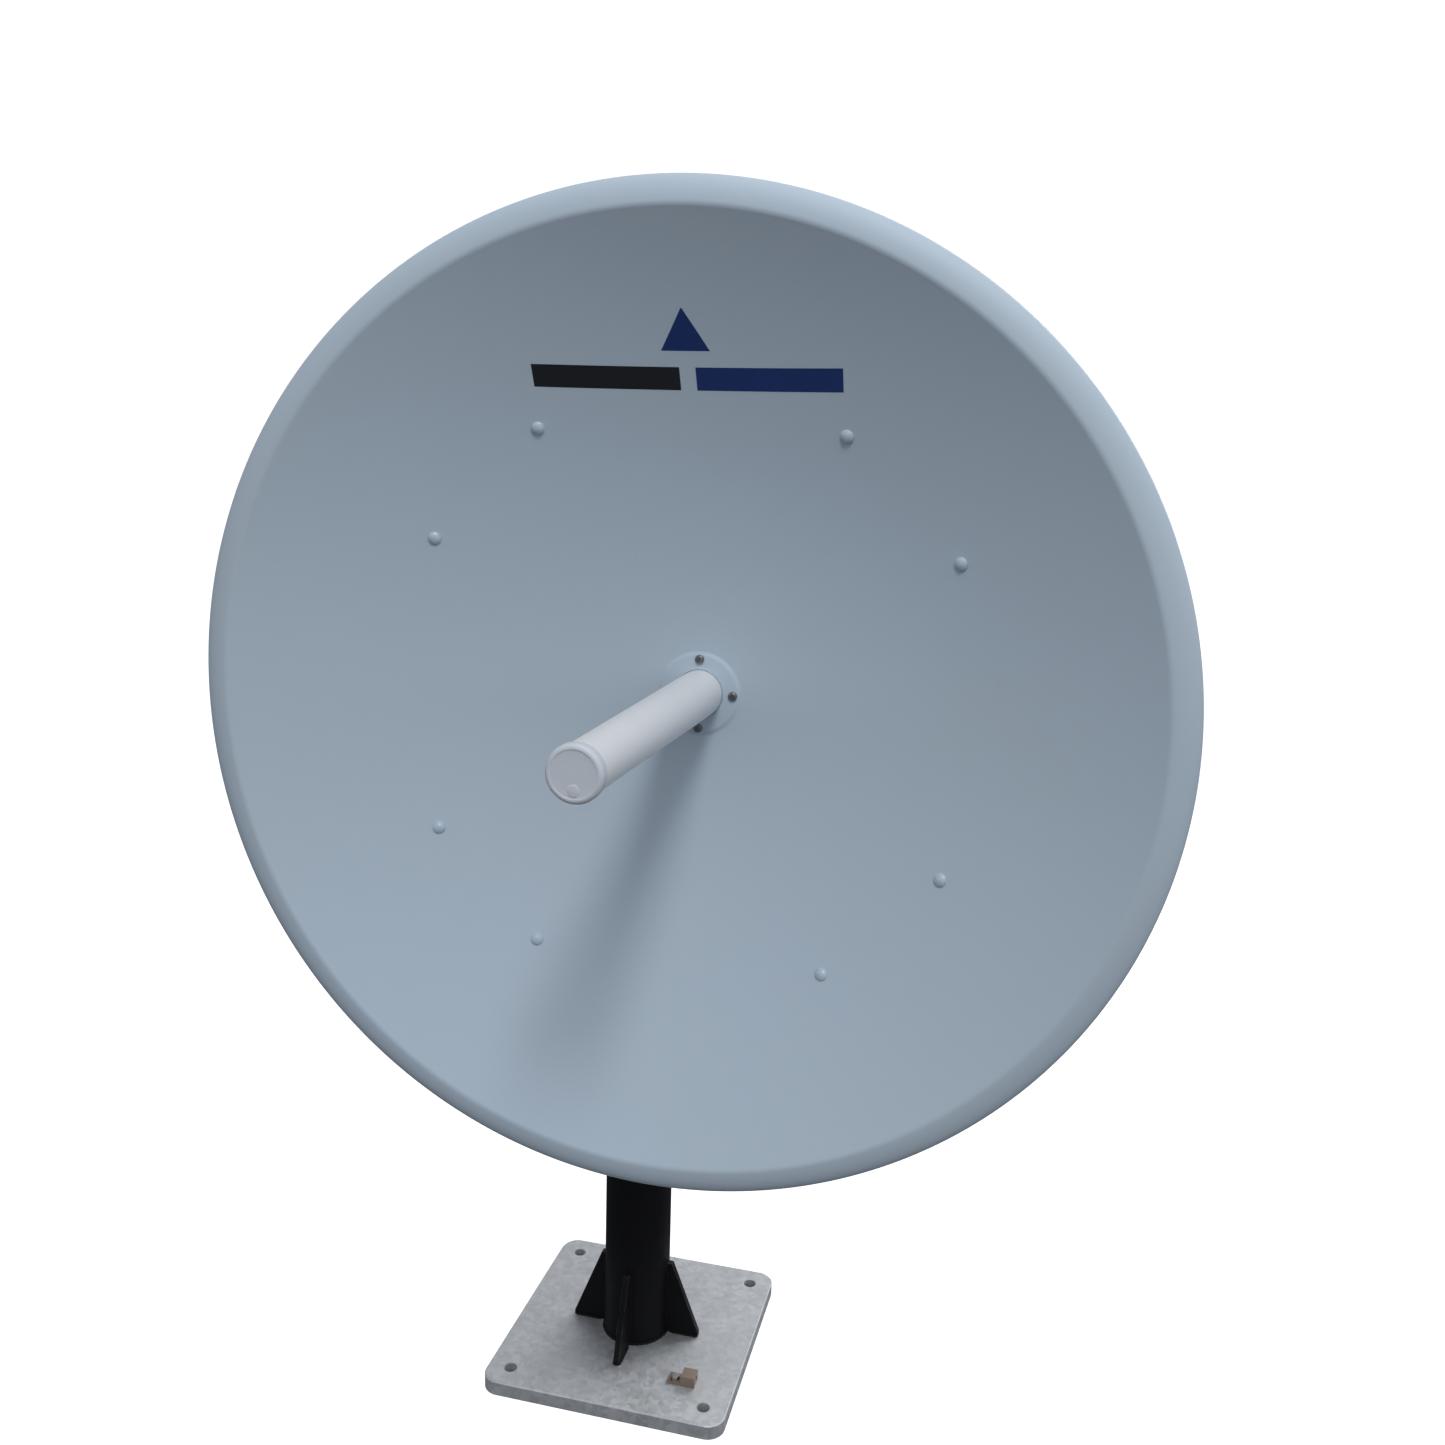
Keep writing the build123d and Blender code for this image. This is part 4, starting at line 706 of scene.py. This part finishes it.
class ANTENNA_OT_reflector(bpy.types.Operator):
    """Spin the bowl and its rolled rim"""

    bl_idname = "antenna.reflector"
    bl_label = "Reflector"

    def execute(self, context):
        """Paraboloid y = -c r^2, a quadratic curve over the crease, a quarter ellipse and a skirt.

        A round hem ends the skirt, and the same shapes one wall further back close the sheet.
        """
        sizes = settings("dish_sizes")
        radius, depth, curve = dish_measures()
        outer = radius + sizes.roll_width
        bowl = np.linspace(sizes.bore, radius - sizes.crease, 100)
        quarter = np.linspace(0, math.pi / 2, 22)
        fold_end = np.array([radius + sizes.crease, -depth])
        fold = np.linspace(0, 1, 8)[1:-1, None]
        fold_start = np.array([bowl[-1], -curve * bowl[-1] ** 2])
        fold_corner = np.array([radius - 0.1 * sizes.crease, -depth])
        folded = quadratic(fold, fold_start, fold_corner, fold_end)
        sweep = sizes.roll_width - sizes.crease
        hem = np.linspace(0, math.pi, 9)
        back = np.linspace(radius, sizes.bore, 70)
        inner_drop = sizes.roll_depth - sizes.wall
        radii = np.concatenate(
            [
                bowl,
                folded[:, 0],
                radius + sizes.crease + sweep * np.sin(quarter),
                outer - sizes.wall / 2 * (1 - np.cos(hem)),
                radius + (sizes.roll_width - sizes.wall) * np.cos(quarter),
                back[1:],
            ]
        )
        heights = np.concatenate(
            [
                -curve * bowl**2,
                folded[:, 1],
                -depth + sizes.roll_depth * (1 - np.cos(quarter)),
                -depth + sizes.skirt_depth - sizes.wall / 2 * (1 - np.sin(hem)),
                -depth + sizes.wall + inner_drop * (1 - np.sin(quarter)),
                sizes.wall - curve * back[1:] ** 2,
            ]
        )
        shells = [(turned(radii, heights, 288), True)]
        make_piece("reflector_shell", shells, "reflector_paint", "dish", ["reflector"], 24.0)
        return {"FINISHED"}


def quadratic(share, start, corner, end):
    """Quadratic curve that leaves its start towards the corner and reaches its end from there."""
    return (1 - share) ** 2 * start + 2 * share * (1 - share) * corner + share**2 * end


def walled(spine, wall):
    """Outline of an even plate: the spine moved half a wall to each side, with half-round ends."""
    run = np.gradient(spine, axis=0)
    run = run / np.linalg.norm(run, axis=1, keepdims=True)
    side = np.stack([-run[:, 1], run[:, 0]], axis=-1) * wall / 2
    swing = np.linspace(0, math.pi, 7)[1:-1, None]
    last = spine[-1] + side[-1] * np.cos(swing) + run[-1] * wall / 2 * np.sin(swing)
    first = spine[0] - side[0] * np.cos(swing) - run[0] * wall / 2 * np.sin(swing)
    return np.concatenate([spine + side, last, (spine - side)[::-1], first])


def rounded_path(corners, bend):
    """A polyline whose inner corners are quadratic curves that begin and end a bend from them."""
    corners = np.asarray(corners, float)
    path = [corners[:1]]
    share = np.linspace(0, 1, 7)[:, None]
    for before, corner, after in zip(corners, corners[1:], corners[2:]):
        start = corner + (before - corner) / np.linalg.norm(before - corner) * bend
        end = corner + (after - corner) / np.linalg.norm(after - corner) * bend
        path.append(quadratic(share, start, corner, end))
    return np.concatenate(path + [corners[-1:]])


class ANTENNA_OT_back_ring(bpy.types.Operator):
    """Roll the back ring and turn the plate round the feed tube"""

    bl_idname = "antenna.back_ring"
    bl_label = "Back ring and collar plate"

    def execute(self, context):
        sizes = settings("dish_sizes")
        curve = dish_measures()[2]
        self.roll_ring(sizes, curve)
        self.turn_plate(sizes, curve)
        return {"FINISHED"}

    def roll_ring(self, sizes, curve):
        """Ring of one rolled plate: a flange along the bowl, a web and a flat rear flange."""
        slope = math.atan(2 * curve * sizes.bolt_circle)
        leaning = np.array([math.cos(slope), -math.sin(slope)])
        normal = np.array([math.sin(slope), math.cos(slope)])
        middle = np.array([sizes.bolt_circle, -curve * sizes.bolt_circle**2])
        middle = middle + normal * (sizes.bolt_grip - PLAY - sizes.ring_wall / 2)
        outer_end = middle + leaning * (sizes.ring_width - sizes.ring_wall) / 2
        bend = middle - leaning * sizes.ring_width / 2
        rear = depths("back_ring")[1] - sizes.ring_wall / 2
        rear_end = bend[0] + sizes.ring_width - sizes.ring_wall / 2
        corners = [outer_end, bend, (bend[0], rear), (rear_end, rear)]
        outline = walled(rounded_path(corners, sizes.ring_wall), sizes.ring_wall)
        shells = [(turned(outline[:, 0], outline[:, 1], 192), True)]
        make_piece("back_ring_rolled", shells, "galvanised", "dish", ["back_ring"], 30.0)

    def turn_plate(self, sizes, curve):
        """Plate flat under its screws, whose face then falls to the bowl as half a cosine wave."""
        screw_head = 0.0042
        flat = 0.050
        bore = 0.0320
        chamfer = 0.0006
        front = depths("feed_flange_screws")[0] + screw_head
        share = np.linspace(0, 1, 16)
        slide = flat + (sizes.collar_radius - flat) * share
        film = -curve * slide**2 - PLAY / 2
        fall = film + (front - film) * (0.5 + 0.5 * np.cos(math.pi * share))
        under = np.linspace(sizes.collar_radius, bore, 12)[1:]
        radii = np.concatenate([[bore, bore + chamfer], slide, under])
        heights = np.concatenate([[front + chamfer, front], fall, -curve * under**2 - PLAY / 2])
        shells = [(turned(radii, heights, 128), True)]
        make_piece("feed_collar_plate", shells, "reflector_paint", "dish", ["feed_flange"], 40.0)


class ANTENNA_OT_mark(bpy.types.Operator):
    """Lay the plain alignment mark on the upper bowl"""

    bl_idname = "antenna.mark"
    bl_label = "Alignment mark"

    def execute(self, context):
        """Patches of the bowl: x and z fill the outline, and y = -c (x^2 + z^2) less a film."""
        # Name: finish, left and right, bottom and top, and the top's width as a share.
        patches = {
            "mark_bar_dark": ("mark_dark", (-0.190, -0.010), (0.384, 0.410), 1.0),
            "mark_bar_blue": ("mark_blue", (0.010, 0.190), (0.384, 0.410), 1.0),
            "mark_arrow": ("mark_blue", (-0.030, 0.030), (0.428, 0.474), 0.02),
        }
        film = 0.00012
        curve = dish_measures()[2]
        rise = np.linspace(0, 1, 12)[:, None]
        run = np.linspace(-1, 1, 60)[None, :]
        for name, (finish, across, upward, top_share) in patches.items():
            middle = sum(across) / 2
            half = (across[1] - across[0]) / 2 * (1 + (top_share - 1) * rise)
            x_place = middle + half * run
            z_place = upward[0] + (upward[1] - upward[0]) * rise + 0 * run
            y_place = -curve * (x_place**2 + z_place**2) - film
            front = np.stack([x_place, y_place, z_place], axis=-1)
            rear = front + BACK * (film + PLAY)
            loop = np.concatenate([front, rear[:, ::-1]], axis=1)
            caps = [np.stack([front[row], rear[row]])[None] for row in (0, -1)]
            mesh_from_patch(name, loop + VERTEX, [cap + VERTEX for cap in caps], finish)
        return {"FINISHED"}


def mesh_from_patch(name, loop, caps, finish):
    """A thin closed film: a loop round the patch, closed by its two end strips."""
    start = loop[..., 0].size
    index = np.arange(start).reshape(loop.shape[:2])
    points = [loop.reshape(-1, 3)]
    faces = [grid_faces(np.concatenate([index, index[:, :1]], axis=1))]
    for cap in caps:
        size = cap[..., 0].size
        faces.append(grid_faces(start + np.arange(size).reshape(2, -1)))
        points.append(cap.reshape(-1, 3))
        start += size
    mesh = bpy.data.meshes.new(name)
    mesh.from_pydata(np.concatenate(points), [], np.concatenate(faces).tolist())
    close_seams(mesh, 30.0)
    piece = place_piece(name, mesh, finish, "dish")


class ANTENNA_OT_reflector_bolts(bpy.types.Operator):
    """Set the domed bolts and their threaded shanks"""

    bl_idname = "antenna.reflector_bolts"
    bl_label = "Reflector bolts"

    def execute(self, context):
        """Dome: a spherical cap on a short straight skirt, turned about the bolt's axis."""
        sizes = settings("dish_sizes")
        thread = 0.008
        pitch = 0.00125
        head = 0.008
        skirt = 0.0020
        rise = 0.0032
        past_ring = 0.0155
        ball = (head**2 + rise**2) / (2 * rise)
        lean = np.linspace(0, math.asin(head / ball), 12)
        radii = np.concatenate([ball * np.sin(lean), [head * 1.01, head, 0]])
        heights = np.concatenate([-skirt - rise + ball * (1 - np.cos(lean)), [-0.6 * skirt, 0, 0]])
        places, normals = bolt_seats(-PLAY / 2)
        dome = stand(lathe(radii, heights, 32), places, normals)
        shank = threaded_bar(thread / 2, pitch, sizes.bolt_grip + past_ring, 20)
        shells = [(dome, False), (stand(shank, places, normals), False)]
        make_piece("domed_bolts", shells, "dome_bolt_paint", "dish", ["reflector_bolts"])
        return {"FINISHED"}


# ---- feed -----------------------------------------------------------------------------------


class ANTENNA_OT_feed_tube(bpy.types.Operator):
    """Turn the tapered feed tube and its end cap"""

    bl_idname = "antenna.feed_tube"
    bl_label = "Feed tube and cap"

    def execute(self, context):
        """Tube: a straight base, a cone from the base radius to the tip radius, and a chamfer."""
        sizes = settings("feed_sizes")
        tip, rear = depths("feed_radome")
        base_radius = sizes.base_radius
        tip_radius = sizes.tip_radius
        chamfer = 0.0006
        taper = np.linspace(base_radius, tip_radius, 24)
        taper_y = np.linspace(-sizes.taper_start, tip + chamfer, 24)
        inner = np.array([tip_radius, base_radius, base_radius]) - sizes.wall
        inner_y = [tip, -sizes.taper_start, rear]
        radii = np.concatenate([[base_radius], taper, [tip_radius - chamfer], inner])
        heights = np.concatenate([[rear], taper_y, [tip], inner_y])
        shells = [(turned(radii, heights, 96), True)]
        make_piece("feed_tube_shell", shells, "radome_plastic", "feed", ["feed_radome"])
        self.build_cap(sizes)
        return {"FINISHED"}

    def build_cap(self, sizes):
        """Cap: a face sunk inside a raised lip, a quarter-round edge, the rim and a hollow plug.

        A button moulded on the face stands below its middle.
        """
        low, high = box_of("feed_end_cap")
        face = depths("feed_end_cap")[0]
        rim = (high[0] - low[0]) / 2
        bevel = sizes.cap_bevel
        corner = np.linspace(0, math.pi / 2, 10)
        lip = rim - bevel
        rear = face + sizes.cap_thickness
        rear_chamfer = 0.0005
        plug = sizes.tip_radius - sizes.wall - PLAY
        plug_bore = plug - sizes.wall
        plug_end = rear + 0.009
        front_wall = 0.005
        sunk = 0.0006
        lip_rows = lip - np.array([0.0020, 0.0012, 0.0009, 0.0004])
        lip_rise = face + sunk * np.array([1.0, 1.0, 1.0, 0.85, 0.15, 0.0])
        radii = np.concatenate(
            [
                [0, 0.5 * lip],
                lip_rows,
                lip + bevel * np.sin(corner),
                [rim, rim - rear_chamfer, plug, plug, plug_bore, plug_bore, 0],
            ]
        )
        heights = np.concatenate(
            [
                lip_rise,
                face + bevel * (1 - np.cos(corner)),
                [rear - rear_chamfer, rear, rear, plug_end, plug_end],
                [face + front_wall, face + front_wall],
            ]
        )
        below_middle = 0.0165
        button_radii = [0, 0.0052, 0.0062, 0.0066, 0.0066, 0]
        button_rise = face + sunk - np.array([0.0007, 0.0007, 0.0005, 0.0, -0.0006, -0.0006])
        button = turned(button_radii, button_rise, 32) - UP * below_middle
        shells = [(turned(radii, heights, 96), False), (button, False)]
        make_piece("feed_cap_shell", shells, "cap_plastic", "feed", ["feed_end_cap"])


# ---- threaded hardware ----------------------------------------------------------------------


def nut_stack(places, directions, thread):
    """Washer and nut shells on each place, standing along each direction."""
    plate = WASHER_SHARE * thread
    washer = ring_section(0.515 * thread, thread, plate - PLAY / 5, 0.12 * plate)
    nut = hexagon(thread, NUT_SHARE * thread)
    on_washer = places + np.atleast_2d(directions) * plate
    return [(stand(washer, places, directions), True), (stand(nut, on_washer, directions), True)]


def stack_height(thread):
    """Height of a nut on its washer."""
    return (WASHER_SHARE + NUT_SHARE) * thread


def corner_places(node, inset, depth):
    """The four places inset from a node's box in x and z, at the depth y."""
    low, high = box_of(node)
    x_sides = (low[0] + inset, high[0] - inset)
    z_sides = (low[2] + inset, high[2] - inset)
    return np.array([(x, depth, z) for x in x_sides for z in z_sides])


class ANTENNA_OT_nuts(bpy.types.Operator):
    """Turn every visible nut and washer"""

    bl_idname = "antenna.nuts"
    bl_label = "Nuts and washers"

    def execute(self, context):
        sizes = settings("dish_sizes")
        places, normals = bolt_seats(sizes.bolt_grip)
        shells = nut_stack(places, normals, 0.008)
        make_piece("ring_nuts", shells, "fastener_steel", "dish", ["reflector_nuts"])
        for node, thread in (("rail_nuts", 0.010), ("ear_nuts", 0.012)):
            places = corner_places(node, thread, box_of(node)[0][1])
            shells = nut_stack(places, BACK, thread)
            make_piece(node + "_turned", shells, "fastener_steel", "dish", [node])
        thread = 0.012
        low, high = box_of("clamp_nuts")
        rear_face = high[1] - stack_height(thread)
        front_face = low[1] + stack_height(thread)
        shells = nut_stack(corner_places("clamp_nuts", thread, rear_face), BACK, thread)
        shells += nut_stack(corner_places("clamp_nuts", thread, front_face), -BACK, thread)
        make_piece("clamp_nuts_turned", shells, "fastener_steel", "saddle", ["clamp_nuts"])
        for node, thread in (("elevation_nuts", 0.016), ("azimuth_nuts", 0.012)):
            low, high = box_of(node)
            ends = np.array([(low + high) / 2] * 2)
            ends[:, 1] = (low[1] + stack_height(thread), high[1] - stack_height(thread))
            shells = nut_stack(ends, np.array([-BACK, BACK]), thread)
            make_piece(node + "_turned", shells, "fastener_steel", node, [node])
        return {"FINISHED"}


class ANTENNA_OT_rods(bpy.types.Operator):
    """Cut the adjuster rods and clamp studs with their threads"""

    bl_idname = "antenna.rods"
    bl_label = "Threaded rods"

    def execute(self, context):
        self.build_rod("elevation_rod", "elevation_rod_pivot", 0.016, 0.002, 0)
        self.build_rod("azimuth_rod", "azimuth_rod_pivot", 0.012, 0.00175, 2)
        thread = 0.012
        pitch = 0.00175
        low, high = box_of("clamp_studs")
        places = corner_places("clamp_studs", thread / 2, low[1])
        studs = stand(threaded_bar(thread / 2, pitch, high[1] - low[1], 24), places, BACK)
        make_piece("clamp_studs_cut", [(studs, False)], "fastener_steel", "saddle", ["clamp_studs"])
        return {"FINISHED"}

    def build_rod(self, node, joint, thread, pitch, pin_axis):
        """An eye, turned about its pin from a rounded section, and a threaded bar out of it."""
        low, high = box_of(node)
        centre = np.array(JOINTS[joint]["pos_m"])
        eye_radius = centre[1] - low[1]
        width = high[pin_axis] - low[pin_axis]
        pin_bore = 0.00605
        rounding = 0.0022
        start = centre.copy()
        start[pin_axis] = low[pin_axis]
        eye = ring_section(pin_bore, eye_radius, width, rounding, 56)
        eye = stand(eye, [start], [np.eye(3)[pin_axis]])
        root = centre + BACK * 0.75 * eye_radius
        root[pin_axis] = low[pin_axis] + width / 2
        bar = stand(threaded_bar(thread / 2, pitch, high[1] - root[1]), [root], [BACK])
        make_piece(node + "_cut", [(eye, True), (bar, False)], "fastener_steel", node, [node])


# ---- mast -----------------------------------------------------------------------------------


class ANTENNA_OT_welds(bpy.types.Operator):
    """Run the weld beads round the mast's foot and its gussets"""

    bl_idname = "antenna.welds"
    bl_label = "Mast welds"

    def execute(self, context):
        """Each gusset has a bead along its foot and one up the pipe, on both of its sides."""
        low, high = box_of("mast_pipe")
        radius = (high[0] - low[0]) / 2
        floor = low[2]
        reach, _, top = box_of("mast_gussets")[1]
        bead = 0.0032
        half_wall = 0.005
        from_corner = 0.006
        from_end = 0.002
        on_pipe = radius - 0.0004
        shells = [(weld_ring((0, 0, floor), radius, bead), True)]
        for quarter in range(4):
            turn = quarter * math.pi / 2
            outward = np.array([math.cos(turn), math.sin(turn), 0.0])
            aside = np.array([-math.sin(turn), math.cos(turn), 0.0])
            for edge in (-aside * half_wall, aside * half_wall):
                foot = outward * (radius + from_corner) + edge + UP * floor
                toe = outward * (reach - from_end) + edge + UP * floor
                heel = outward * on_pipe + edge + UP * (floor + from_corner)
                head = outward * on_pipe + edge + UP * (top - from_end)
                shells.append((weld_bead(foot, toe, bead), False))
                shells.append((weld_bead(heel, head, bead), False))
        make_piece("mast_welds", shells, "mast_paint", "mast", sharp=60.0)
        return {"FINISHED"}


# ---- stage ----------------------------------------------------------------------------------


class ANTENNA_OT_stage(bpy.types.Operator):
    """Set the floor, the soft light and the camera"""

    bl_idname = "antenna.stage"
    bl_label = "Stage"

    def execute(self, context):
        studio = settings("studio")
        self.build_floor(studio)
        self.build_light(studio)
        self.build_camera(studio)
        context.scene.view_settings.view_transform = "Standard"
        return {"FINISHED"}

    def build_floor(self, studio):
        """A flat square floor at height 0. It looks white, and sends back little of the light."""
        reach = 30.0
        across = np.linspace(-reach, reach, 3)
        grid = np.stack(np.meshgrid(across, across) + [np.zeros((3, 3))], axis=-1)
        faces = grid_faces(np.arange(9).reshape(3, 3))
        mesh = bpy.data.meshes.new("stage_floor")
        mesh.from_pydata(grid.reshape(-1, 3), [], faces.tolist())
        floor = add_object("stage_floor", mesh)
        material, tree, shader = start_material("stage_white", specular=0.0)
        shader.inputs["Base Color"].default_value = (0.72, 0.72, 0.72, 1.0)
        shader.inputs["Roughness"].default_value = 1.0
        glow = add_node(
            tree, "ShaderNodeEmission", {"Color": (1, 1, 1, 1), "Strength": studio.glow}
        )
        seen = add_node(tree, "ShaderNodeAddShader", {0: shader.outputs[0], 1: glow.outputs[0]})
        level = studio.bounce
        unseen = add_node(tree, "ShaderNodeBsdfDiffuse", {"Color": (level, level, level, 1.0)})
        output = next(node for node in tree.nodes if node.type == "OUTPUT_MATERIAL")
        connect(tree, output, {0: self.by_ray(tree, unseen, seen)})
        mesh.materials.append(material)

    def by_ray(self, tree, unseen, seen):
        """The second shader where the camera looks, and the first for every other ray."""
        camera_ray = add_node(tree, "ShaderNodeLightPath").outputs["Is Camera Ray"]
        return add_node(
            tree, "ShaderNodeMixShader", {0: camera_ray, 1: unseen.outputs[0], 2: seen.outputs[0]}
        ).outputs[0]

    def build_light(self, studio):
        """A sky brighter to the right, over dark ground, and two broad lamps above the dish.

        One lamp stands in front of it and the other behind it, both to its right.
        """
        world = bpy.data.worlds.new("soft_sky")
        bpy.context.scene.world = world
        world.use_nodes = True
        tree = world.node_tree
        tree.nodes.clear()
        direction = add_node(tree, "ShaderNodeTexCoord").outputs["Generated"]
        rightward, _, height = add_node(tree, "ShaderNodeSeparateXYZ", {0: direction}).outputs
        above = span(tree, height, 0.05, 1.0, studio.horizon, studio.sky)
        dimmed = span(tree, height, -0.12, 0.12, studio.ground / studio.horizon, 1.0)
        even = calculate(tree, "MULTIPLY", above, dimmed)
        lean = span(tree, rightward, -1.0, 1.0, 1.0 - studio.lean, 1.0 + studio.lean)
        strength = calculate(tree, "MULTIPLY", even, lean)
        cool = (0.95, 0.985, 1.05, 1.0)
        sky = add_node(tree, "ShaderNodeBackground", {"Color": cool, "Strength": strength})
        plain = (1.0, 1.0, 1.0, 1.0)
        white = add_node(tree, "ShaderNodeBackground", {"Color": plain, "Strength": 1.05})
        add_node(tree, "ShaderNodeOutputWorld", {0: self.by_ray(tree, sky, white)})
        self.add_lamp("key_lamp", (0.75, -2.05, 2.5), 0.75, studio.key)
        self.add_lamp("back_lamp", (1.7, 3.2, 1.7), 2.4, studio.back)

    def add_lamp(self, name, from_vertex, size, power):
        """A square area lamp, placed from the reflector's vertex and turned to it."""
        lamp = bpy.data.lights.new(name, "AREA")
        lamp.size = size
        lamp.energy = power
        holder = add_object(name, lamp)
        holder.location = Vector(VERTEX) + Vector(from_vertex)
        holder.rotation_euler = (-Vector(from_vertex)).to_track_quat("-Z", "Y").to_euler()

    def build_camera(self, studio):
        """Camera in front of the dish, above its axis and to its right, looking down and left."""
        lens = bpy.data.cameras.new("camera")
        lens.sensor_width = 36.0
        lens.lens = studio.lens
        camera = add_object("camera", lens)
        from_vertex = (0.434, -1.634, 0.3126)
        pitch_roll_yaw = np.radians([78.26, -1.72, 14.17])
        camera.location = Vector(VERTEX) + Vector(from_vertex)
        camera.rotation_euler = pitch_roll_yaw.tolist()
        bpy.context.scene.camera = camera


# ---- add-on ---------------------------------------------------------------------------------

OPERATORS = (
    ANTENNA_OT_finishes,
    ANTENNA_OT_reflector,
    ANTENNA_OT_back_ring,
    ANTENNA_OT_mark,
    ANTENNA_OT_reflector_bolts,
    ANTENNA_OT_feed_tube,
    ANTENNA_OT_nuts,
    ANTENNA_OT_rods,
    ANTENNA_OT_welds,
    ANTENNA_OT_stage,
)


class ANTENNA_PT_panel(bpy.types.Panel):
    """Lists the antenna's pieces in the sidebar"""

    bl_idname = "ANTENNA_PT_panel"
    bl_label = "Dish antenna"
    bl_space_type = "VIEW_3D"
    bl_region_type = "UI"
    bl_category = "Antenna"

    def draw(self, context):
        """One button for each operator."""
        for operator in OPERATORS:
            self.layout.operator(operator.bl_idname)


GROUPS = {
    "dish_sizes": DishSizes,
    "feed_sizes": FeedSizes,
    "finishes": Finishes,
    "studio": StudioLight,
}


def register():
    """Register the classes and hang the property groups on the scene."""
    for group in GROUPS.values():
        bpy.utils.register_class(group)
    for name, group in GROUPS.items():
        setattr(bpy.types.Scene, name, PointerProperty(type=group))
    for operator in OPERATORS:
        bpy.utils.register_class(operator)
    bpy.utils.register_class(ANTENNA_PT_panel)


def unregister():
    """Undo register, last first."""
    bpy.utils.unregister_class(ANTENNA_PT_panel)
    for operator in reversed(OPERATORS):
        bpy.utils.unregister_class(operator)
    for name in GROUPS:
        delattr(bpy.types.Scene, name)
    for group in reversed(GROUPS.values()):
        bpy.utils.unregister_class(group)


def main():
    """Build everything in order."""
    register()
    for operator in OPERATORS:
        group, name = operator.bl_idname.split(".")
        getattr(getattr(bpy.ops, group), name)()


if __name__ == "__main__":
    main()
